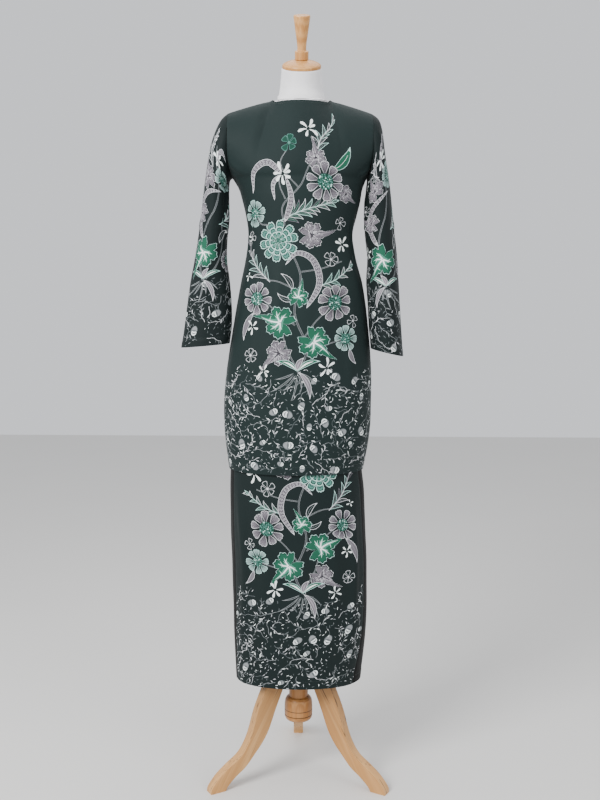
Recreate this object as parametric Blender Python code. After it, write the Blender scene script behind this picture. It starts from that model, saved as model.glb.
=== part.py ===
"""A baju kurung, a long tunic over an ankle length skirt, worn by a limbless dress form on a wooden stand.

Metres, +Z up. The floor is z = 0 and the front faces -Y. Left and right are the wearer's, so the left sleeve
lies at +X. Everything is laid out about the stand's axis, at x = y = 0, and moved as one in the end, so that
its bounding box is centred over the origin. Each cloth panel is a wall between its outer surface, a function
of two parameters, and the same surface moved in by the wall's thickness.
"""

from math import cos, pi, radians, sin

import bmesh
import bpy
import numpy as np
from mathutils import Vector
from mathutils.bvhtree import BVHTree

# ---------------------------------------------------------------- driving dimensions

CLOTH = 0.0016  # wall of every cloth panel
GAP = 0.0003  # between pieces that are sewn or rest on each other
FORM_CLEAR = 0.0006  # between the form's shoulders and the cloth that hangs on them
ROUNDNESS = 2.2  # exponent of the body's sections: 2 is an ellipse, more is squarer

HEM = 0.802  # height of the tunic's hem
ARMPIT = 1.518
SHOULDER = 1.674  # height of the shoulder seam at the armhole
NECK_SIDE = 1.705  # height of the shoulder seam at the neckline
NECK_HALF = 0.070  # half width of the neckline
NECK_FRONT = (0.062, 1.697)  # depth in front of the axis, and height
NECK_BACK = (0.056, 1.708)
NECK_SHARE = 0.4  # share of a panel's half width, counted in its columns, that the neckline takes
ARMHOLE_DEPTH = 0.066  # of the armhole's front and back, from the shoulder seam

# Where each armhole's lowest and highest points lie across the body.
ARMHOLES = {
    # side: (armpit x, shoulder x)
    "right": (-0.1680, -0.1785),
    "left": (0.1600, 0.1725),
}

# Sections of the tunic from the hem to the armpits.
TUNIC = (
    # height, middle x, half width, front depth, back depth
    (HEM, -0.0088, 0.1684, 0.1220, 0.1180),
    (0.848, -0.0075, 0.1763, 0.1245, 0.1205),
    (0.909, -0.0065, 0.1834, 0.1255, 0.1220),
    (0.970, -0.0060, 0.1843, 0.1250, 0.1220),
    (1.030, -0.0038, 0.1819, 0.1240, 0.1205),
    (1.090, -0.0014, 0.1764, 0.1220, 0.1175),
    (1.150, 0.0008, 0.1686, 0.1195, 0.1125),
    (1.210, 0.0022, 0.1601, 0.1170, 0.1065),
    (1.269, 0.0025, 0.1492, 0.1140, 0.0985),
    (1.328, 0.0002, 0.1352, 0.1125, 0.0915),
    (1.387, -0.0010, 0.1284, 0.1150, 0.0885),
    (1.430, 0.0010, 0.1366, 0.1200, 0.0905),
    (1.467, 0.0008, 0.1454, 0.1225, 0.0950),
    (1.491, -0.0010, 0.1505, 0.1210, 0.0985),
    (ARMPIT, -0.0040, 0.1640, 0.1180, 0.1010),
)

# Sections of the skirt from its hem to its waist, with the seams between its printed front and plain back.
SKIRT_HEM = 0.257
WAIST = 1.270  # lower edge of the waistband
SKIRT = (
    # height, middle x, half width, front depth, back depth, right seam, left seam (degrees from the front)
    (SKIRT_HEM, -0.0005, 0.1605, 0.1000, 0.0990, -75.0, 57.0),
    (0.286, 0.0000, 0.1628, 0.1010, 0.1000, -74.5, 59.0),
    (0.318, 0.0011, 0.1653, 0.1025, 0.1010, -74.0, 61.5),
    (0.350, 0.0022, 0.1676, 0.1040, 0.1020, -73.0, 64.0),
    (0.382, 0.0027, 0.1693, 0.1050, 0.1030, -72.0, 66.5),
    (0.445, 0.0028, 0.1708, 0.1070, 0.1045, -70.0, 69.0),
    (0.508, 0.0015, 0.1716, 0.1090, 0.1060, -69.0, 70.0),
    (0.570, 0.0005, 0.1719, 0.1110, 0.1080, -68.5, 70.0),
    (0.633, -0.0023, 0.1714, 0.1130, 0.1100, -68.5, 69.5),
    (0.695, -0.0045, 0.1704, 0.1150, 0.1115, -68.5, 68.5),
    (0.756, -0.0065, 0.1688, 0.1160, 0.1120, -68.5, 68.0),
    (0.802, -0.0088, 0.1655, 0.1160, 0.1120, -68.5, 68.0),
    (0.900, -0.0065, 0.1680, 0.1155, 0.1120, -69.0, 68.5),
    (1.000, -0.0030, 0.1695, 0.1140, 0.1130, -69.5, 69.0),
    (1.080, 0.0000, 0.1680, 0.1115, 0.1135, -70.0, 70.0),
    (1.150, 0.0000, 0.1570, 0.1085, 0.1085, -70.0, 70.0),
    (1.210, 0.0000, 0.1415, 0.1020, 0.0995, -70.0, 70.0),
    (WAIST, 0.0000, 0.1243, 0.0948, 0.0868, -70.0, 70.0),
)

# Soft folds that run down the tunic and the skirt. A fold is raised, or sunk where its depth is negative.
TUNIC_FOLDS = (
    # side, angle at the top, angle at the foot (degrees), half width, depth, top height, foot height
    ("front", -52.0, -66.0, 9.0, 0.0045, 1.49, 1.05),
    ("front", 55.0, 68.0, 8.0, 0.0040, 1.47, 1.08),
    ("front", -30.0, -38.0, 10.0, -0.0030, 1.42, 0.95),
    ("front", 34.0, 44.0, 10.0, -0.0030, 1.40, 0.98),
    ("back", -40.0, -50.0, 10.0, 0.0045, 1.50, 1.00),
    ("back", 44.0, 54.0, 10.0, 0.0040, 1.48, 0.96),
    ("back", 4.0, -2.0, 12.0, -0.0040, 1.56, 1.32),
)
SKIRT_FOLDS = (
    ("front", -52.0, -56.0, 9.0, 0.0030, 0.84, 0.30),
    ("front", 54.0, 48.0, 9.0, 0.0030, 0.80, 0.33),
    ("back", -30.0, -38.0, 12.0, 0.0040, 0.90, 0.28),
    ("back", 36.0, 30.0, 12.0, 0.0040, 0.88, 0.28),
)

# Sections of each sleeve from the armhole to the cuff: its outer and inner ends, seen from the front,
# its half depth from front to back and the y of its middle.
SLEEVE_SECTIONS = {
    "right": (
        # outer x, outer z, inner x, inner z, half depth, middle y
        (-0.1788, 1.6740, -0.1683, 1.5180, 0.0660, 0.000),
        (-0.1965, 1.6560, -0.1715, 1.5165, 0.0675, -0.001),
        (-0.2115, 1.6250, -0.1740, 1.5140, 0.0685, -0.001),
        (-0.2218, 1.5920, -0.1758, 1.5080, 0.0690, -0.002),
        (-0.2282, 1.5560, -0.1768, 1.4960, 0.0685, -0.002),
        (-0.2340, 1.5180, -0.1768, 1.4780, 0.0670, -0.003),
        (-0.2400, 1.4740, -0.1760, 1.4500, 0.0645, -0.004),
        (-0.2452, 1.4280, -0.1758, 1.4150, 0.0615, -0.005),
        (-0.2525, 1.3750, -0.1805, 1.3700, 0.0580, -0.008),
        (-0.2613, 1.3200, -0.1812, 1.3200, 0.0545, -0.012),
        (-0.2716, 1.2640, -0.1740, 1.2660, 0.0510, -0.017),
        (-0.2794, 1.2080, -0.1695, 1.2120, 0.0480, -0.022),
        (-0.2867, 1.1500, -0.1690, 1.1580, 0.0455, -0.027),
        (-0.2937, 1.1050, -0.1745, 1.1160, 0.0440, -0.030),
    ),
    "left": (
        (0.1728, 1.6740, 0.1603, 1.5180, 0.0660, 0.000),
        (0.1885, 1.6600, 0.1613, 1.5165, 0.0675, -0.001),
        (0.1965, 1.6380, 0.1618, 1.5140, 0.0685, -0.001),
        (0.2010, 1.6080, 0.1615, 1.5090, 0.0690, -0.002),
        (0.2058, 1.5720, 0.1603, 1.4980, 0.0695, -0.002),
        (0.2122, 1.5350, 0.1587, 1.4800, 0.0695, -0.003),
        (0.2183, 1.4950, 0.1565, 1.4550, 0.0690, -0.004),
        (0.2240, 1.4460, 0.1550, 1.4220, 0.0680, -0.005),
        (0.2300, 1.3900, 0.1582, 1.3780, 0.0670, -0.008),
        (0.2370, 1.3300, 0.1640, 1.3250, 0.0660, -0.013),
        (0.2412, 1.2700, 0.1615, 1.2700, 0.0650, -0.019),
        (0.2447, 1.2100, 0.1655, 1.2140, 0.0640, -0.025),
        (0.2488, 1.1500, 0.1690, 1.1580, 0.0625, -0.030),
        (0.2536, 1.0870, 0.1745, 1.1050, 0.0610, -0.034),
    ),
}

# Sections of the dress form, from its flat underside to the top of its neck.
FORM_BOTTOM = 0.972
FORM_TOP = 1.7815  # along the neck, before it is leaned forward
NECK_BASE = 1.704  # where the neck starts to lean
NECK_LEAN = 22.0
WAISTBAND_TOP = 1.302
FORM = (
    # height, half width, front depth, back depth
    (FORM_BOTTOM, 0.1400, 0.0880, 0.0900),
    (0.982, 0.1530, 0.0990, 0.1010),
    (1.020, 0.1600, 0.1040, 0.1060),
    (1.080, 0.1600, 0.1035, 0.1060),
    (1.150, 0.1490, 0.1000, 0.1010),
    (1.210, 0.1350, 0.0955, 0.0925),
    (WAIST, 0.1215, 0.0920, 0.0840),
    (WAISTBAND_TOP, 0.1180, 0.0900, 0.0800),
    (1.345, 0.1165, 0.0920, 0.0780),
    (1.387, 0.1195, 0.1010, 0.0795),
    (1.430, 0.1280, 0.1120, 0.0840),
    (1.470, 0.1370, 0.1170, 0.0890),
    (1.520, 0.1480, 0.1120, 0.0950),
    (1.570, 0.1580, 0.1040, 0.0970),
    (1.615, 0.1640, 0.0960, 0.0920),
    (1.645, 0.1640, 0.0860, 0.0820),
    (1.666, 0.1560, 0.0740, 0.0700),
    (1.680, 0.1400, 0.0660, 0.0640),
    (1.690, 0.1150, 0.0610, 0.0610),
    (1.697, 0.0900, 0.0580, 0.0580),
    (1.7015, 0.0700, 0.0565, 0.0565),
    (1.706, 0.0575, 0.0550, 0.0550),
    (1.718, 0.0538, 0.0530, 0.0530),
    (1.734, 0.0513, 0.0510, 0.0510),
    (1.750, 0.0495, 0.0495, 0.0495),
    (1.766, 0.0482, 0.0482, 0.0482),
    (FORM_TOP, 0.0472, 0.0472, 0.0472),
)

# Turned profiles, from the bottom up. The cap's and the finial's are leaned with the neck afterwards.
CAP = (
    # radius, height
    (0.0000, 1.7818),
    (0.0440, 1.7818),
    (0.0470, 1.7850),
    (0.0470, 1.7890),
    (0.0420, 1.7945),
    (0.0300, 1.7990),
    (0.0160, 1.8010),
    (0.0000, 1.8010),
)
FINIAL = (
    (0.0000, 1.8013),
    (0.0145, 1.8013),
    (0.0164, 1.8035),
    (0.0164, 1.8200),
    (0.0148, 1.8222),
    (0.0108, 1.8232),
    (0.0108, 1.8300),
    (0.0142, 1.8560),
    (0.0172, 1.8780),
    (0.0194, 1.8930),
    (0.0199, 1.8980),
    (0.0194, 1.9010),
    (0.0170, 1.9024),
    (0.0000, 1.9026),
)
POLE_RADIUS = 0.0160
HUB_TOP = 0.372
COLUMN = 0.0245  # radius of the hub's upper part, which carries the legs
HUB = (
    (0.0000, 0.1362),
    (0.0280, 0.1362),
    (0.0352, 0.1450),
    (0.0360, 0.1520),
    (0.0348, 0.1535),
    (0.0360, 0.1550),
    (0.0360, 0.1665),
    (0.0348, 0.1680),
    (0.0360, 0.1695),
    (0.0360, 0.1910),
    (0.0325, 0.1980),
    (COLUMN, 0.2020),
    (COLUMN, 0.3680),
    (0.0205, HUB_TOP),
    (0.0000, HUB_TOP),
)

LEG_WIDTH = 0.026
LEG_EDGE = 0.003  # chamfer of a leg's edges
LEG_AZIMUTHS = {"leg_front_right": 210.0, "leg_front_left": 330.0, "leg_back": 90.0}
FOOT = (0.216, 0.256)  # distances from the axis between which a foot is flat on the floor
LEG_OUTER = (
    # distance from the axis, height, up a leg's outer edge
    (FOOT[1], 0.0000),
    (0.2530, 0.0130),
    (0.2340, 0.0360),
    (0.2060, 0.0580),
    (0.1720, 0.0810),
    (0.1520, 0.1090),
    (0.1390, 0.1400),
    (0.1250, 0.1860),
    (0.1040, 0.2350),
    (0.0790, 0.2850),
    (0.0560, 0.3250),
    (COLUMN + GAP, 0.3600),
)
LEG_INNER = (
    # the same, down its inner edge
    (COLUMN + GAP, 0.2980),
    (0.0400, 0.2640),
    (0.0580, 0.2220),
    (0.0740, 0.1850),
    (0.0940, 0.1340),
    (0.1130, 0.1030),
    (0.1370, 0.0750),
    (0.1600, 0.0500),
    (0.1860, 0.0320),
    (0.2090, 0.0120),
    (FOOT[0], 0.0000),
)

# Columns and rows of the panels' meshes.
TUNIC_COLUMNS = 20
TUNIC_ROWS = (14, 9)  # below and above the armpits
SLEEVE_COLUMNS = 2 * TUNIC_ROWS[1]  # a column at each of the points that the armhole has
SLEEVE_ROWS = 20
SKIRT_COLUMNS = 16
SKIRT_ROWS = 15
FORM_SIDES = 28
TURNED_SIDES = 24

# Linear colours of the materials.
PRINTED_CLOTH = (0.032, 0.052, 0.050)
PLAIN_CLOTH = (0.030, 0.038, 0.038)
FORM_WHITE = (0.72, 0.71, 0.73)
WOOD = (0.60, 0.40, 0.23)
STEEL = (0.42, 0.42, 0.43)


# ---------------------------------------------------------------- curves and sections


def smooth(table, key):
    """The table's row at each key, on cubic curves through its rows. The first column is the key."""
    table = np.array(table, dtype=float)
    keys, rows = table[:, 0], table[:, 1:]
    slopes = np.gradient(rows, keys, axis=0)
    key = np.asarray(key, dtype=float)
    i = np.clip(np.searchsorted(keys, key) - 1, 0, len(keys) - 2)
    step = (keys[i + 1] - keys[i])[..., None]
    t = ((key - keys[i])[..., None]) / step
    return (
        (2 * t**3 - 3 * t**2 + 1) * rows[i]
        + (t**3 - 2 * t**2 + t) * step * slopes[i]
        + (3 * t**2 - 2 * t**3) * rows[i + 1]
        + (t**3 - t**2) * step * slopes[i + 1]
    )


def ease(x):
    x = np.clip(x, 0.0, 1.0)
    return x * x * (3 - 2 * x)


def signed_power(x, exponent):
    return np.sign(x) * np.abs(x) ** exponent


def section_point(middle, half, front, back, angle, z, exponent=ROUNDNESS):
    """The point of a body section at an angle in radians, counted from the front (-Y) towards +X."""
    x = middle + half * signed_power(np.sin(angle), 2 / exponent)
    forward = signed_power(np.cos(angle), 2 / exponent)
    y = -np.where(forward > 0, front, back) * forward
    return np.stack(np.broadcast_arrays(x, y, z), axis=-1)


def fold_height(folds, side, degrees, z):
    """How far the folds move the cloth out, at an angle from the middle of the panel and at a height."""
    height = 0.0
    for fold_side, top_angle, foot_angle, half_width, depth, top, foot in folds:
        if fold_side != side:
            continue
        along = (top - z) / (top - foot)
        middle = top_angle + (foot_angle - top_angle) * along
        across = np.exp(-(((degrees - middle) / half_width) ** 2))
        height = height + depth * across * ease(along * 3) * ease((1.25 - along) * 2.5)
    return height


# ---------------------------------------------------------------- outer surfaces of the panels


def armhole_point(side, v, forward):
    """The armhole seam from the armpit (v = 0) to the shoulder (v = 1), round its front or its back."""
    armpit_x, shoulder_x = ARMHOLES[side]
    x = armpit_x + (shoulder_x - armpit_x) * ease(2.2 * v)
    y = -forward * ARMHOLE_DEPTH * np.sin(pi * v)
    z = (ARMPIT + SHOULDER) / 2 - (SHOULDER - ARMPIT) / 2 * np.cos(pi * v)
    return np.stack(np.broadcast_arrays(x, y, z), axis=-1)


def top_edge_point(s, forward):
    """A tunic panel's top edge: the neckline in the middle and the shoulder seams at its sides."""
    size = np.abs(s)
    sign = np.sign(s)
    neck_depth, neck_z = NECK_FRONT if forward > 0 else NECK_BACK
    turn = np.clip(size / NECK_SHARE, 0, 1) * pi / 2
    neck = np.stack(
        [
            NECK_HALF * np.sin(turn) * sign,
            -forward * neck_depth * np.cos(turn),
            neck_z + (NECK_SIDE - neck_z) * np.clip(size / NECK_SHARE, 0, 1) ** 4,
        ],
        axis=-1,
    )
    out = np.clip((size - NECK_SHARE) / (1 - NECK_SHARE), 0, None)
    shoulder_x = np.where(sign > 0, ARMHOLES["left"][1], ARMHOLES["right"][1])
    shoulder = np.stack(
        [
            NECK_HALF * sign + (shoulder_x - NECK_HALF * sign) * out,
            0 * out,
            NECK_SIDE + (SHOULDER - NECK_SIDE) * out**1.15,
        ],
        axis=-1,
    )
    return np.where((size <= NECK_SHARE)[..., None], neck, shoulder)


def lower_tunic(s, z, forward):
    middle, half, front, back = np.moveaxis(smooth(TUNIC, z), -1, 0)
    depth = front if forward > 0 else back
    side = "front" if forward > 0 else "back"
    bulge = fold_height(TUNIC_FOLDS, side, 90 * s, z) * np.clip(np.cos(s * pi / 2), 0, 1) ** 0.5
    angle = s * pi / 2
    point = section_point(middle, half + bulge, depth + bulge, depth + bulge, angle, z)
    point[..., 1] *= forward
    return point


def upper_tunic(s, v, forward):
    """From the armpits' level (v = 0) to the top edge (v = 1), drawn out to the armholes at the sides."""
    below = np.full_like(s, ARMPIT - 0.004)
    base = lower_tunic(s, np.full_like(s, ARMPIT), forward)
    rise = (base - lower_tunic(s, below, forward)) / 0.004
    base_way = 0.17 * np.stack([0.2 * rise[..., 0], rise[..., 1], np.ones_like(s)], axis=-1)
    top = top_edge_point(s, forward)
    on_shoulder = ease((np.abs(s) - 0.2) / 0.35)
    top_way = np.stack(
        [0 * s, forward * (0.05 + 0.08 * on_shoulder), 0.13 - 0.10 * on_shoulder], axis=-1
    )

    def loft(base, base_way, top, top_way):
        w = v[..., None]
        return (
            (2 * w**3 - 3 * w**2 + 1) * base
            + (w**3 - 2 * w**2 + w) * base_way
            + (3 * w**2 - 2 * w**3) * top
            + (w**3 - w**2) * top_way
        )

    point = loft(base, base_way, top, top_way)
    for side, sign in (("right", -1.0), ("left", 1.0)):
        edge = np.full_like(s, sign)
        edge_base = lower_tunic(edge, np.full_like(s, ARMPIT), forward)
        edge_rise = (edge_base - lower_tunic(edge, below, forward)) / 0.004
        edge_way = 0.17 * np.stack([0.2 * edge_rise[..., 0], edge_rise[..., 1], np.ones_like(s)], axis=-1)
        edge_top = top_edge_point(edge, forward)
        edge_top_way = np.stack([0 * s, 0 * s + forward * 0.13, 0 * s + 0.03], axis=-1)
        straight = loft(edge_base, edge_way, edge_top, edge_top_way)
        weight = np.clip((1 + sign * s) / 2, 0, None) ** 3
        point = point + weight[..., None] * (armhole_point(side, v, forward) - straight)
    return point


def tunic_surface(forward):
    """The outer surface of the tunic's front (forward = 1) or back (-1). v is 0 at the hem, 1 at the armpits
    and 2 at the shoulders; s runs from the wearer's right (-1) to the left (1)."""

    def surface(s, v):
        low = lower_tunic(s, HEM + (ARMPIT - HEM) * np.clip(v, None, 1), forward)
        high = upper_tunic(s, np.clip(v - 1, 0, None), forward)
        point = np.where((v <= 1)[..., None], low, high)
        return point + np.array([0, -forward * GAP / 2, 0])

    return surface


def skirt_surface(side):
    """The outer surface of the skirt's front or back. s runs from 0 to 1 between its seams, v up to 1."""

    def surface(s, v):
        z = SKIRT_HEM + (WAIST - GAP - SKIRT_HEM) * v
        middle, half, front, back, right_seam, left_seam = np.moveaxis(smooth(SKIRT, z), -1, 0)
        inset = np.degrees(0.7 * GAP / half)
        start, stop = right_seam + inset, left_seam - inset
        if side == "back":
            start, stop = left_seam + inset, right_seam + 360 - inset
        degrees = start + (stop - start) * s
        from_middle = degrees if side == "front" else degrees - 180
        bulge = fold_height(SKIRT_FOLDS, side, from_middle, z)
        return section_point(middle, half + bulge, front + bulge, back + bulge, np.radians(degrees), z)

    return surface


def sleeve_surface(side):
    """The outer surface of a sleeve. u runs once round it from its top by its front, v down to the cuff."""
    rows = [(float(i), *row) for i, row in enumerate(SLEEVE_SECTIONS[side])]
    outward = 1.0 if side == "left" else -1.0

    def ring(u, t):
        outer_x, outer_z, inner_x, inner_z, half_depth, middle_y = np.moveaxis(smooth(rows, t), -1, 0)
        along, across = np.cos(2 * pi * u), np.sin(2 * pi * u)
        x = (outer_x + inner_x) / 2 + (outer_x - inner_x) / 2 * along
        z = (outer_z + inner_z) / 2 + (outer_z - inner_z) / 2 * along
        return np.stack([x, middle_y - half_depth * across, z], axis=-1)

    def surface(u, v):
        t = v * (len(rows) - 1)
        turn = np.mod(u, 1.0)
        forward = np.where(turn < 0.5, 1.0, -1.0)
        seam = armhole_point(side, 1 - 2 * np.minimum(turn, 1 - turn), forward)
        seam = seam + np.array([outward * GAP, 0, 0])
        weight = np.clip(1 - t / 2.5, 0, None) ** 2
        return ring(u, t) + weight[..., None] * (seam - ring(u, 0 * t))

    return surface


# ---------------------------------------------------------------- meshes


def material(name, colour, roughness, metallic=0.0):
    made = bpy.data.materials.new(name)
    made.use_nodes = True
    shader = made.node_tree.nodes["Principled BSDF"]
    shader.inputs["Base Color"].default_value = (*colour, 1.0)
    shader.inputs["Roughness"].default_value = roughness
    shader.inputs["Metallic"].default_value = metallic
    made.diffuse_color = (*colour, 1.0)
    return made


def add_object(name, bm, finish, sharp_degrees=40.0):
    bmesh.ops.recalc_face_normals(bm, faces=bm.faces)
    mesh = bpy.data.meshes.new(name)
    bm.to_mesh(mesh)
    bm.free()
    mesh.shade_smooth()
    mesh.set_sharp_from_angle(angle=radians(sharp_degrees))
    mesh.materials.append(finish)
    made = bpy.data.objects.new(name, mesh)
    bpy.context.scene.collection.objects.link(made)
    return made


def outward_normals(surface, u, v):
    """Unit normals of a surface by small steps. Its u runs to the right and v up as seen from outside."""
    step = 1e-4
    along_u = surface(u + step, v) - surface(u - step, v)
    along_v = surface(u, v + step) - surface(u, v - step)
    normal = np.cross(along_u, along_v)
    return normal / np.linalg.norm(normal, axis=-1, keepdims=True)


def wall_grids(surface, columns, rows, flip=1.0, in_seam=None):
    """Outer and inner points of a cloth wall, as grids of columns by rows. in_seam turns the wall's
    direction at its edges, where it has to stay in the plane of a seam."""
    u, v = np.meshgrid(columns, rows, indexing="ij")
    outer = surface(u, v)
    way = flip * outward_normals(surface, u, v)
    if in_seam:
        way = in_seam(u, v, way)
        way = way / np.linalg.norm(way, axis=-1, keepdims=True)
    return outer, outer - CLOTH * way


def in_tunic_seams(s, v, way):
    """The side and shoulder seams lie in the plane y = 0 and the armholes across x."""
    at_side = np.abs(s) > 0.999
    at_shoulder = (v > 1.999) & (np.abs(s) > NECK_SHARE - 0.001)
    across = (at_side & (v < 1.001)) | at_shoulder
    keep = np.stack([~(at_side & (v > 1.001)), ~across, np.ones_like(across)], axis=-1)
    return way * keep


def in_armhole(u, v, way):
    """A sleeve's first ring lies against the armhole, across x."""
    return way * np.stack([v > 0.001, np.ones_like(v), np.ones_like(v)], axis=-1)


def add_wall(name, outer, inner, finish, round_tube=False):
    """A closed wall between two grids of points. A round tube's last column is joined to its first."""
    bm = bmesh.new()
    columns, rows = outer.shape[:2]
    skins = [[[bm.verts.new(p) for p in line] for line in grid] for grid in (outer, inner)]
    spans = [(i, (i + 1) % columns) for i in range(columns if round_tube else columns - 1)]
    for i, k in spans:
        for j in range(rows - 1):
            for skin in skins:
                bm.faces.new((skin[i][j], skin[k][j], skin[k][j + 1], skin[i][j + 1]))
        for j in (0, rows - 1):
            bm.faces.new((skins[0][i][j], skins[0][k][j], skins[1][k][j], skins[1][i][j]))
    if not round_tube:
        for i in (0, columns - 1):
            for j in range(rows - 1):
                bm.faces.new((skins[0][i][j], skins[0][i][j + 1], skins[1][i][j + 1], skins[1][i][j]))
    return add_object(name, bm, finish)


def add_loft(name, rings, finish):
    """A closed solid through rings of points, with a flat cap at each end."""
    bm = bmesh.new()
    loops = [[bm.verts.new(p) for p in ring] for ring in rings]
    count = len(loops[0])
    for low, high in zip(loops, loops[1:]):
        for i in range(count):
            k = (i + 1) % count
            bm.faces.new((low[i], low[k], high[k], high[i]))
    bm.faces.new(loops[0])
    bm.faces.new(loops[-1])
    return add_object(name, bm, finish)


def leaned(points):
    """Points of an upright neck, with what stands on it, bent forward about the neck's base."""
    points = np.array(points, dtype=float)
    length, lean = FORM_TOP - NECK_BASE, radians(NECK_LEAN)
    rise = points[..., 2] - NECK_BASE
    turn = lean * np.clip(rise / length, 0, 1)
    beyond = np.clip(rise - length, 0, None)
    middle_y = -length / lean * (1 - np.cos(turn)) - beyond * np.sin(turn)
    middle_z = NECK_BASE + length / lean * np.sin(turn) + beyond * np.cos(turn) + np.clip(rise, None, 0)
    return np.stack(
        [points[..., 0], middle_y + points[..., 1] * np.cos(turn), middle_z + points[..., 1] * np.sin(turn)], -1
    )


def add_turned(name, profile, finish, sides=TURNED_SIDES, on_neck=False):
    """A profile of radii and heights, spun about the stand's axis, or about the neck's."""
    bm = bmesh.new()
    verts = [bm.verts.new((radius, 0, z)) for radius, z in profile]
    edges = [bm.edges.new(pair) for pair in zip(verts, verts[1:])]
    bmesh.ops.spin(
        bm, geom=verts + edges, cent=(0, 0, 0), axis=(0, 0, 1), angle=2 * pi, steps=sides, use_merge=True
    )
    bmesh.ops.remove_doubles(bm, verts=bm.verts, dist=1e-6)
    if on_neck:
        for vert in bm.verts:
            vert.co = leaned(vert.co)
    return add_object(name, bm, finish)


def curve_points(points):
    """Points on a smooth curve through the given ones, with one more between each two."""
    rows = [(float(i), *point) for i, point in enumerate(points)]
    return smooth(rows, np.linspace(0, len(points) - 1, 2 * len(points) - 1))


def add_leg(name, azimuth, finish):
    """A board cut to a leg's outline in the plane through the axis, with its edges taken off."""
    outline = np.concatenate([curve_points(LEG_OUTER), curve_points(LEG_INNER)])
    bm = bmesh.new()
    face = bm.faces.new([bm.verts.new((r, -LEG_WIDTH / 2, max(z, 0.0))) for r, z in outline])
    moved = bmesh.ops.extrude_face_region(bm, geom=[face])["geom"]
    far = [item for item in moved if isinstance(item, bmesh.types.BMVert)]
    bmesh.ops.translate(bm, verts=far, vec=(0, LEG_WIDTH, 0))
    clear_of_ends = [
        edge
        for edge in bm.edges
        if all(vert.co.z > 1e-4 or vert.co.x > FOOT[1] for vert in edge.verts)
        and all(vert.co.x > COLUMN + 2 * GAP for vert in edge.verts)
        and abs(edge.verts[0].co.y - edge.verts[1].co.y) < 1e-6
    ]
    bmesh.ops.bevel(bm, geom=clear_of_ends, offset=LEG_EDGE, segments=1, affect="EDGES")
    bmesh.ops.triangulate(bm, faces=[f for f in bm.faces if len(f.verts) > 4])
    made = add_object(name, bm, finish)
    made.rotation_euler.z = radians(azimuth)
    return made


# ---------------------------------------------------------------- the garment


def tunic_grids():
    """The points of the tunic's two panels, by the name of their solid."""
    below, above = TUNIC_ROWS
    rows = np.concatenate([np.linspace(0, 1, below + 1), 1 + np.linspace(0, 1, above + 1)[1:]])
    columns = np.linspace(-1, 1, TUNIC_COLUMNS + 1)
    return {
        name: wall_grids(tunic_surface(forward), columns, rows, forward, in_tunic_seams)
        for name, forward in (("tunic_front", 1.0), ("tunic_back", -1.0))
    }


def add_tunic(finish):
    for name, (outer, inner) in tunic_grids().items():
        add_wall(name, outer, inner, finish)
    for side in ("right", "left"):
        turns = np.arange(SLEEVE_COLUMNS) / SLEEVE_COLUMNS
        flip = 1.0 if side == "left" else -1.0
        lengths = np.linspace(0, 1, SLEEVE_ROWS + 1) ** 1.1
        outer, inner = wall_grids(sleeve_surface(side), turns, lengths, flip, in_armhole)
        add_wall("sleeve_" + side, outer, inner, finish, round_tube=True)


def add_skirt(printed, plain, form_rings):
    rows = np.linspace(0, 1, SKIRT_ROWS + 1)
    columns = np.linspace(0, 1, SKIRT_COLUMNS + 1)
    for side, finish in (("front", printed), ("back", plain)):
        outer, inner = wall_grids(skirt_surface(side), columns, rows)
        add_wall("skirt_" + side, outer, inner, finish)
    held = [ring for ring in form_rings if WAIST - 1e-6 < ring[0][2] < WAISTBAND_TOP + 1e-6]
    around = np.stack(held, axis=1)
    outward = around * np.array([1, 1, 0])
    outward = outward / np.linalg.norm(outward, axis=-1, keepdims=True)
    add_wall(
        "skirt_waistband",
        around + outward * (1.5 * GAP + CLOTH),
        around + outward * 1.5 * GAP,
        plain,
        round_tube=True,
    )


# ---------------------------------------------------------------- the dress form and its stand


def cloth_tree():
    """The inner side of the tunic's panels, which holds the form's shoulders inside them."""
    points, faces = [], []
    for _, inner in tunic_grids().values():
        start = len(points)
        columns, rows = inner.shape[:2]
        points += [Vector(p) for p in inner.reshape(-1, 3)]
        for i in range(columns - 1):
            for j in range(rows - 1):
                a = start + i * rows + j
                faces += [(a, a + rows, a + 1), (a + 1, a + rows, a + rows + 1)]
                faces += [(a, a + rows, a + rows + 1), (a, a + rows + 1, a + 1)]
    return BVHTree.FromPolygons(points, faces)


def reach_inside(tree, z, angle, turn, rise):
    """How far the form may reach from its axis at a height and an angle, with its neighbourhood clear."""
    reach = 1.0
    for dz in (-rise, 0.0, rise):
        for da in np.linspace(-turn, turn, 5):
            way = Vector((sin(angle + da), -cos(angle + da), 0.0))
            hit, normal, _, distance = tree.ray_cast(Vector((0, 0, z + dz)), way)
            if hit is not None:
                reach = min(reach, (distance - FORM_CLEAR / max(0.3, abs(normal.dot(way)))) * cos(da))
    return reach


def form_rings():
    """The form's sections, each point at least FORM_CLEAR inside the tunic."""
    tree = cloth_tree()
    angles = np.arange(FORM_SIDES) / FORM_SIDES * 2 * pi
    heights = [row[0] for row in FORM]
    rings = []
    for i, (z, half, front, back) in enumerate(FORM):
        ring = section_point(0.0, half, front, back, angles, z, exponent=2.0 if z > NECK_SIDE else ROUNDNESS)
        rise = (heights[min(i + 1, len(heights) - 1)] - z) / 2
        for point in ring:
            angle = np.arctan2(point[0], -point[1])
            reach = reach_inside(tree, z, angle, pi / FORM_SIDES, rise)
            point[:2] *= min(1.0, reach / np.hypot(point[0], point[1]))
        rings.append(leaned(ring))
    return rings


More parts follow.
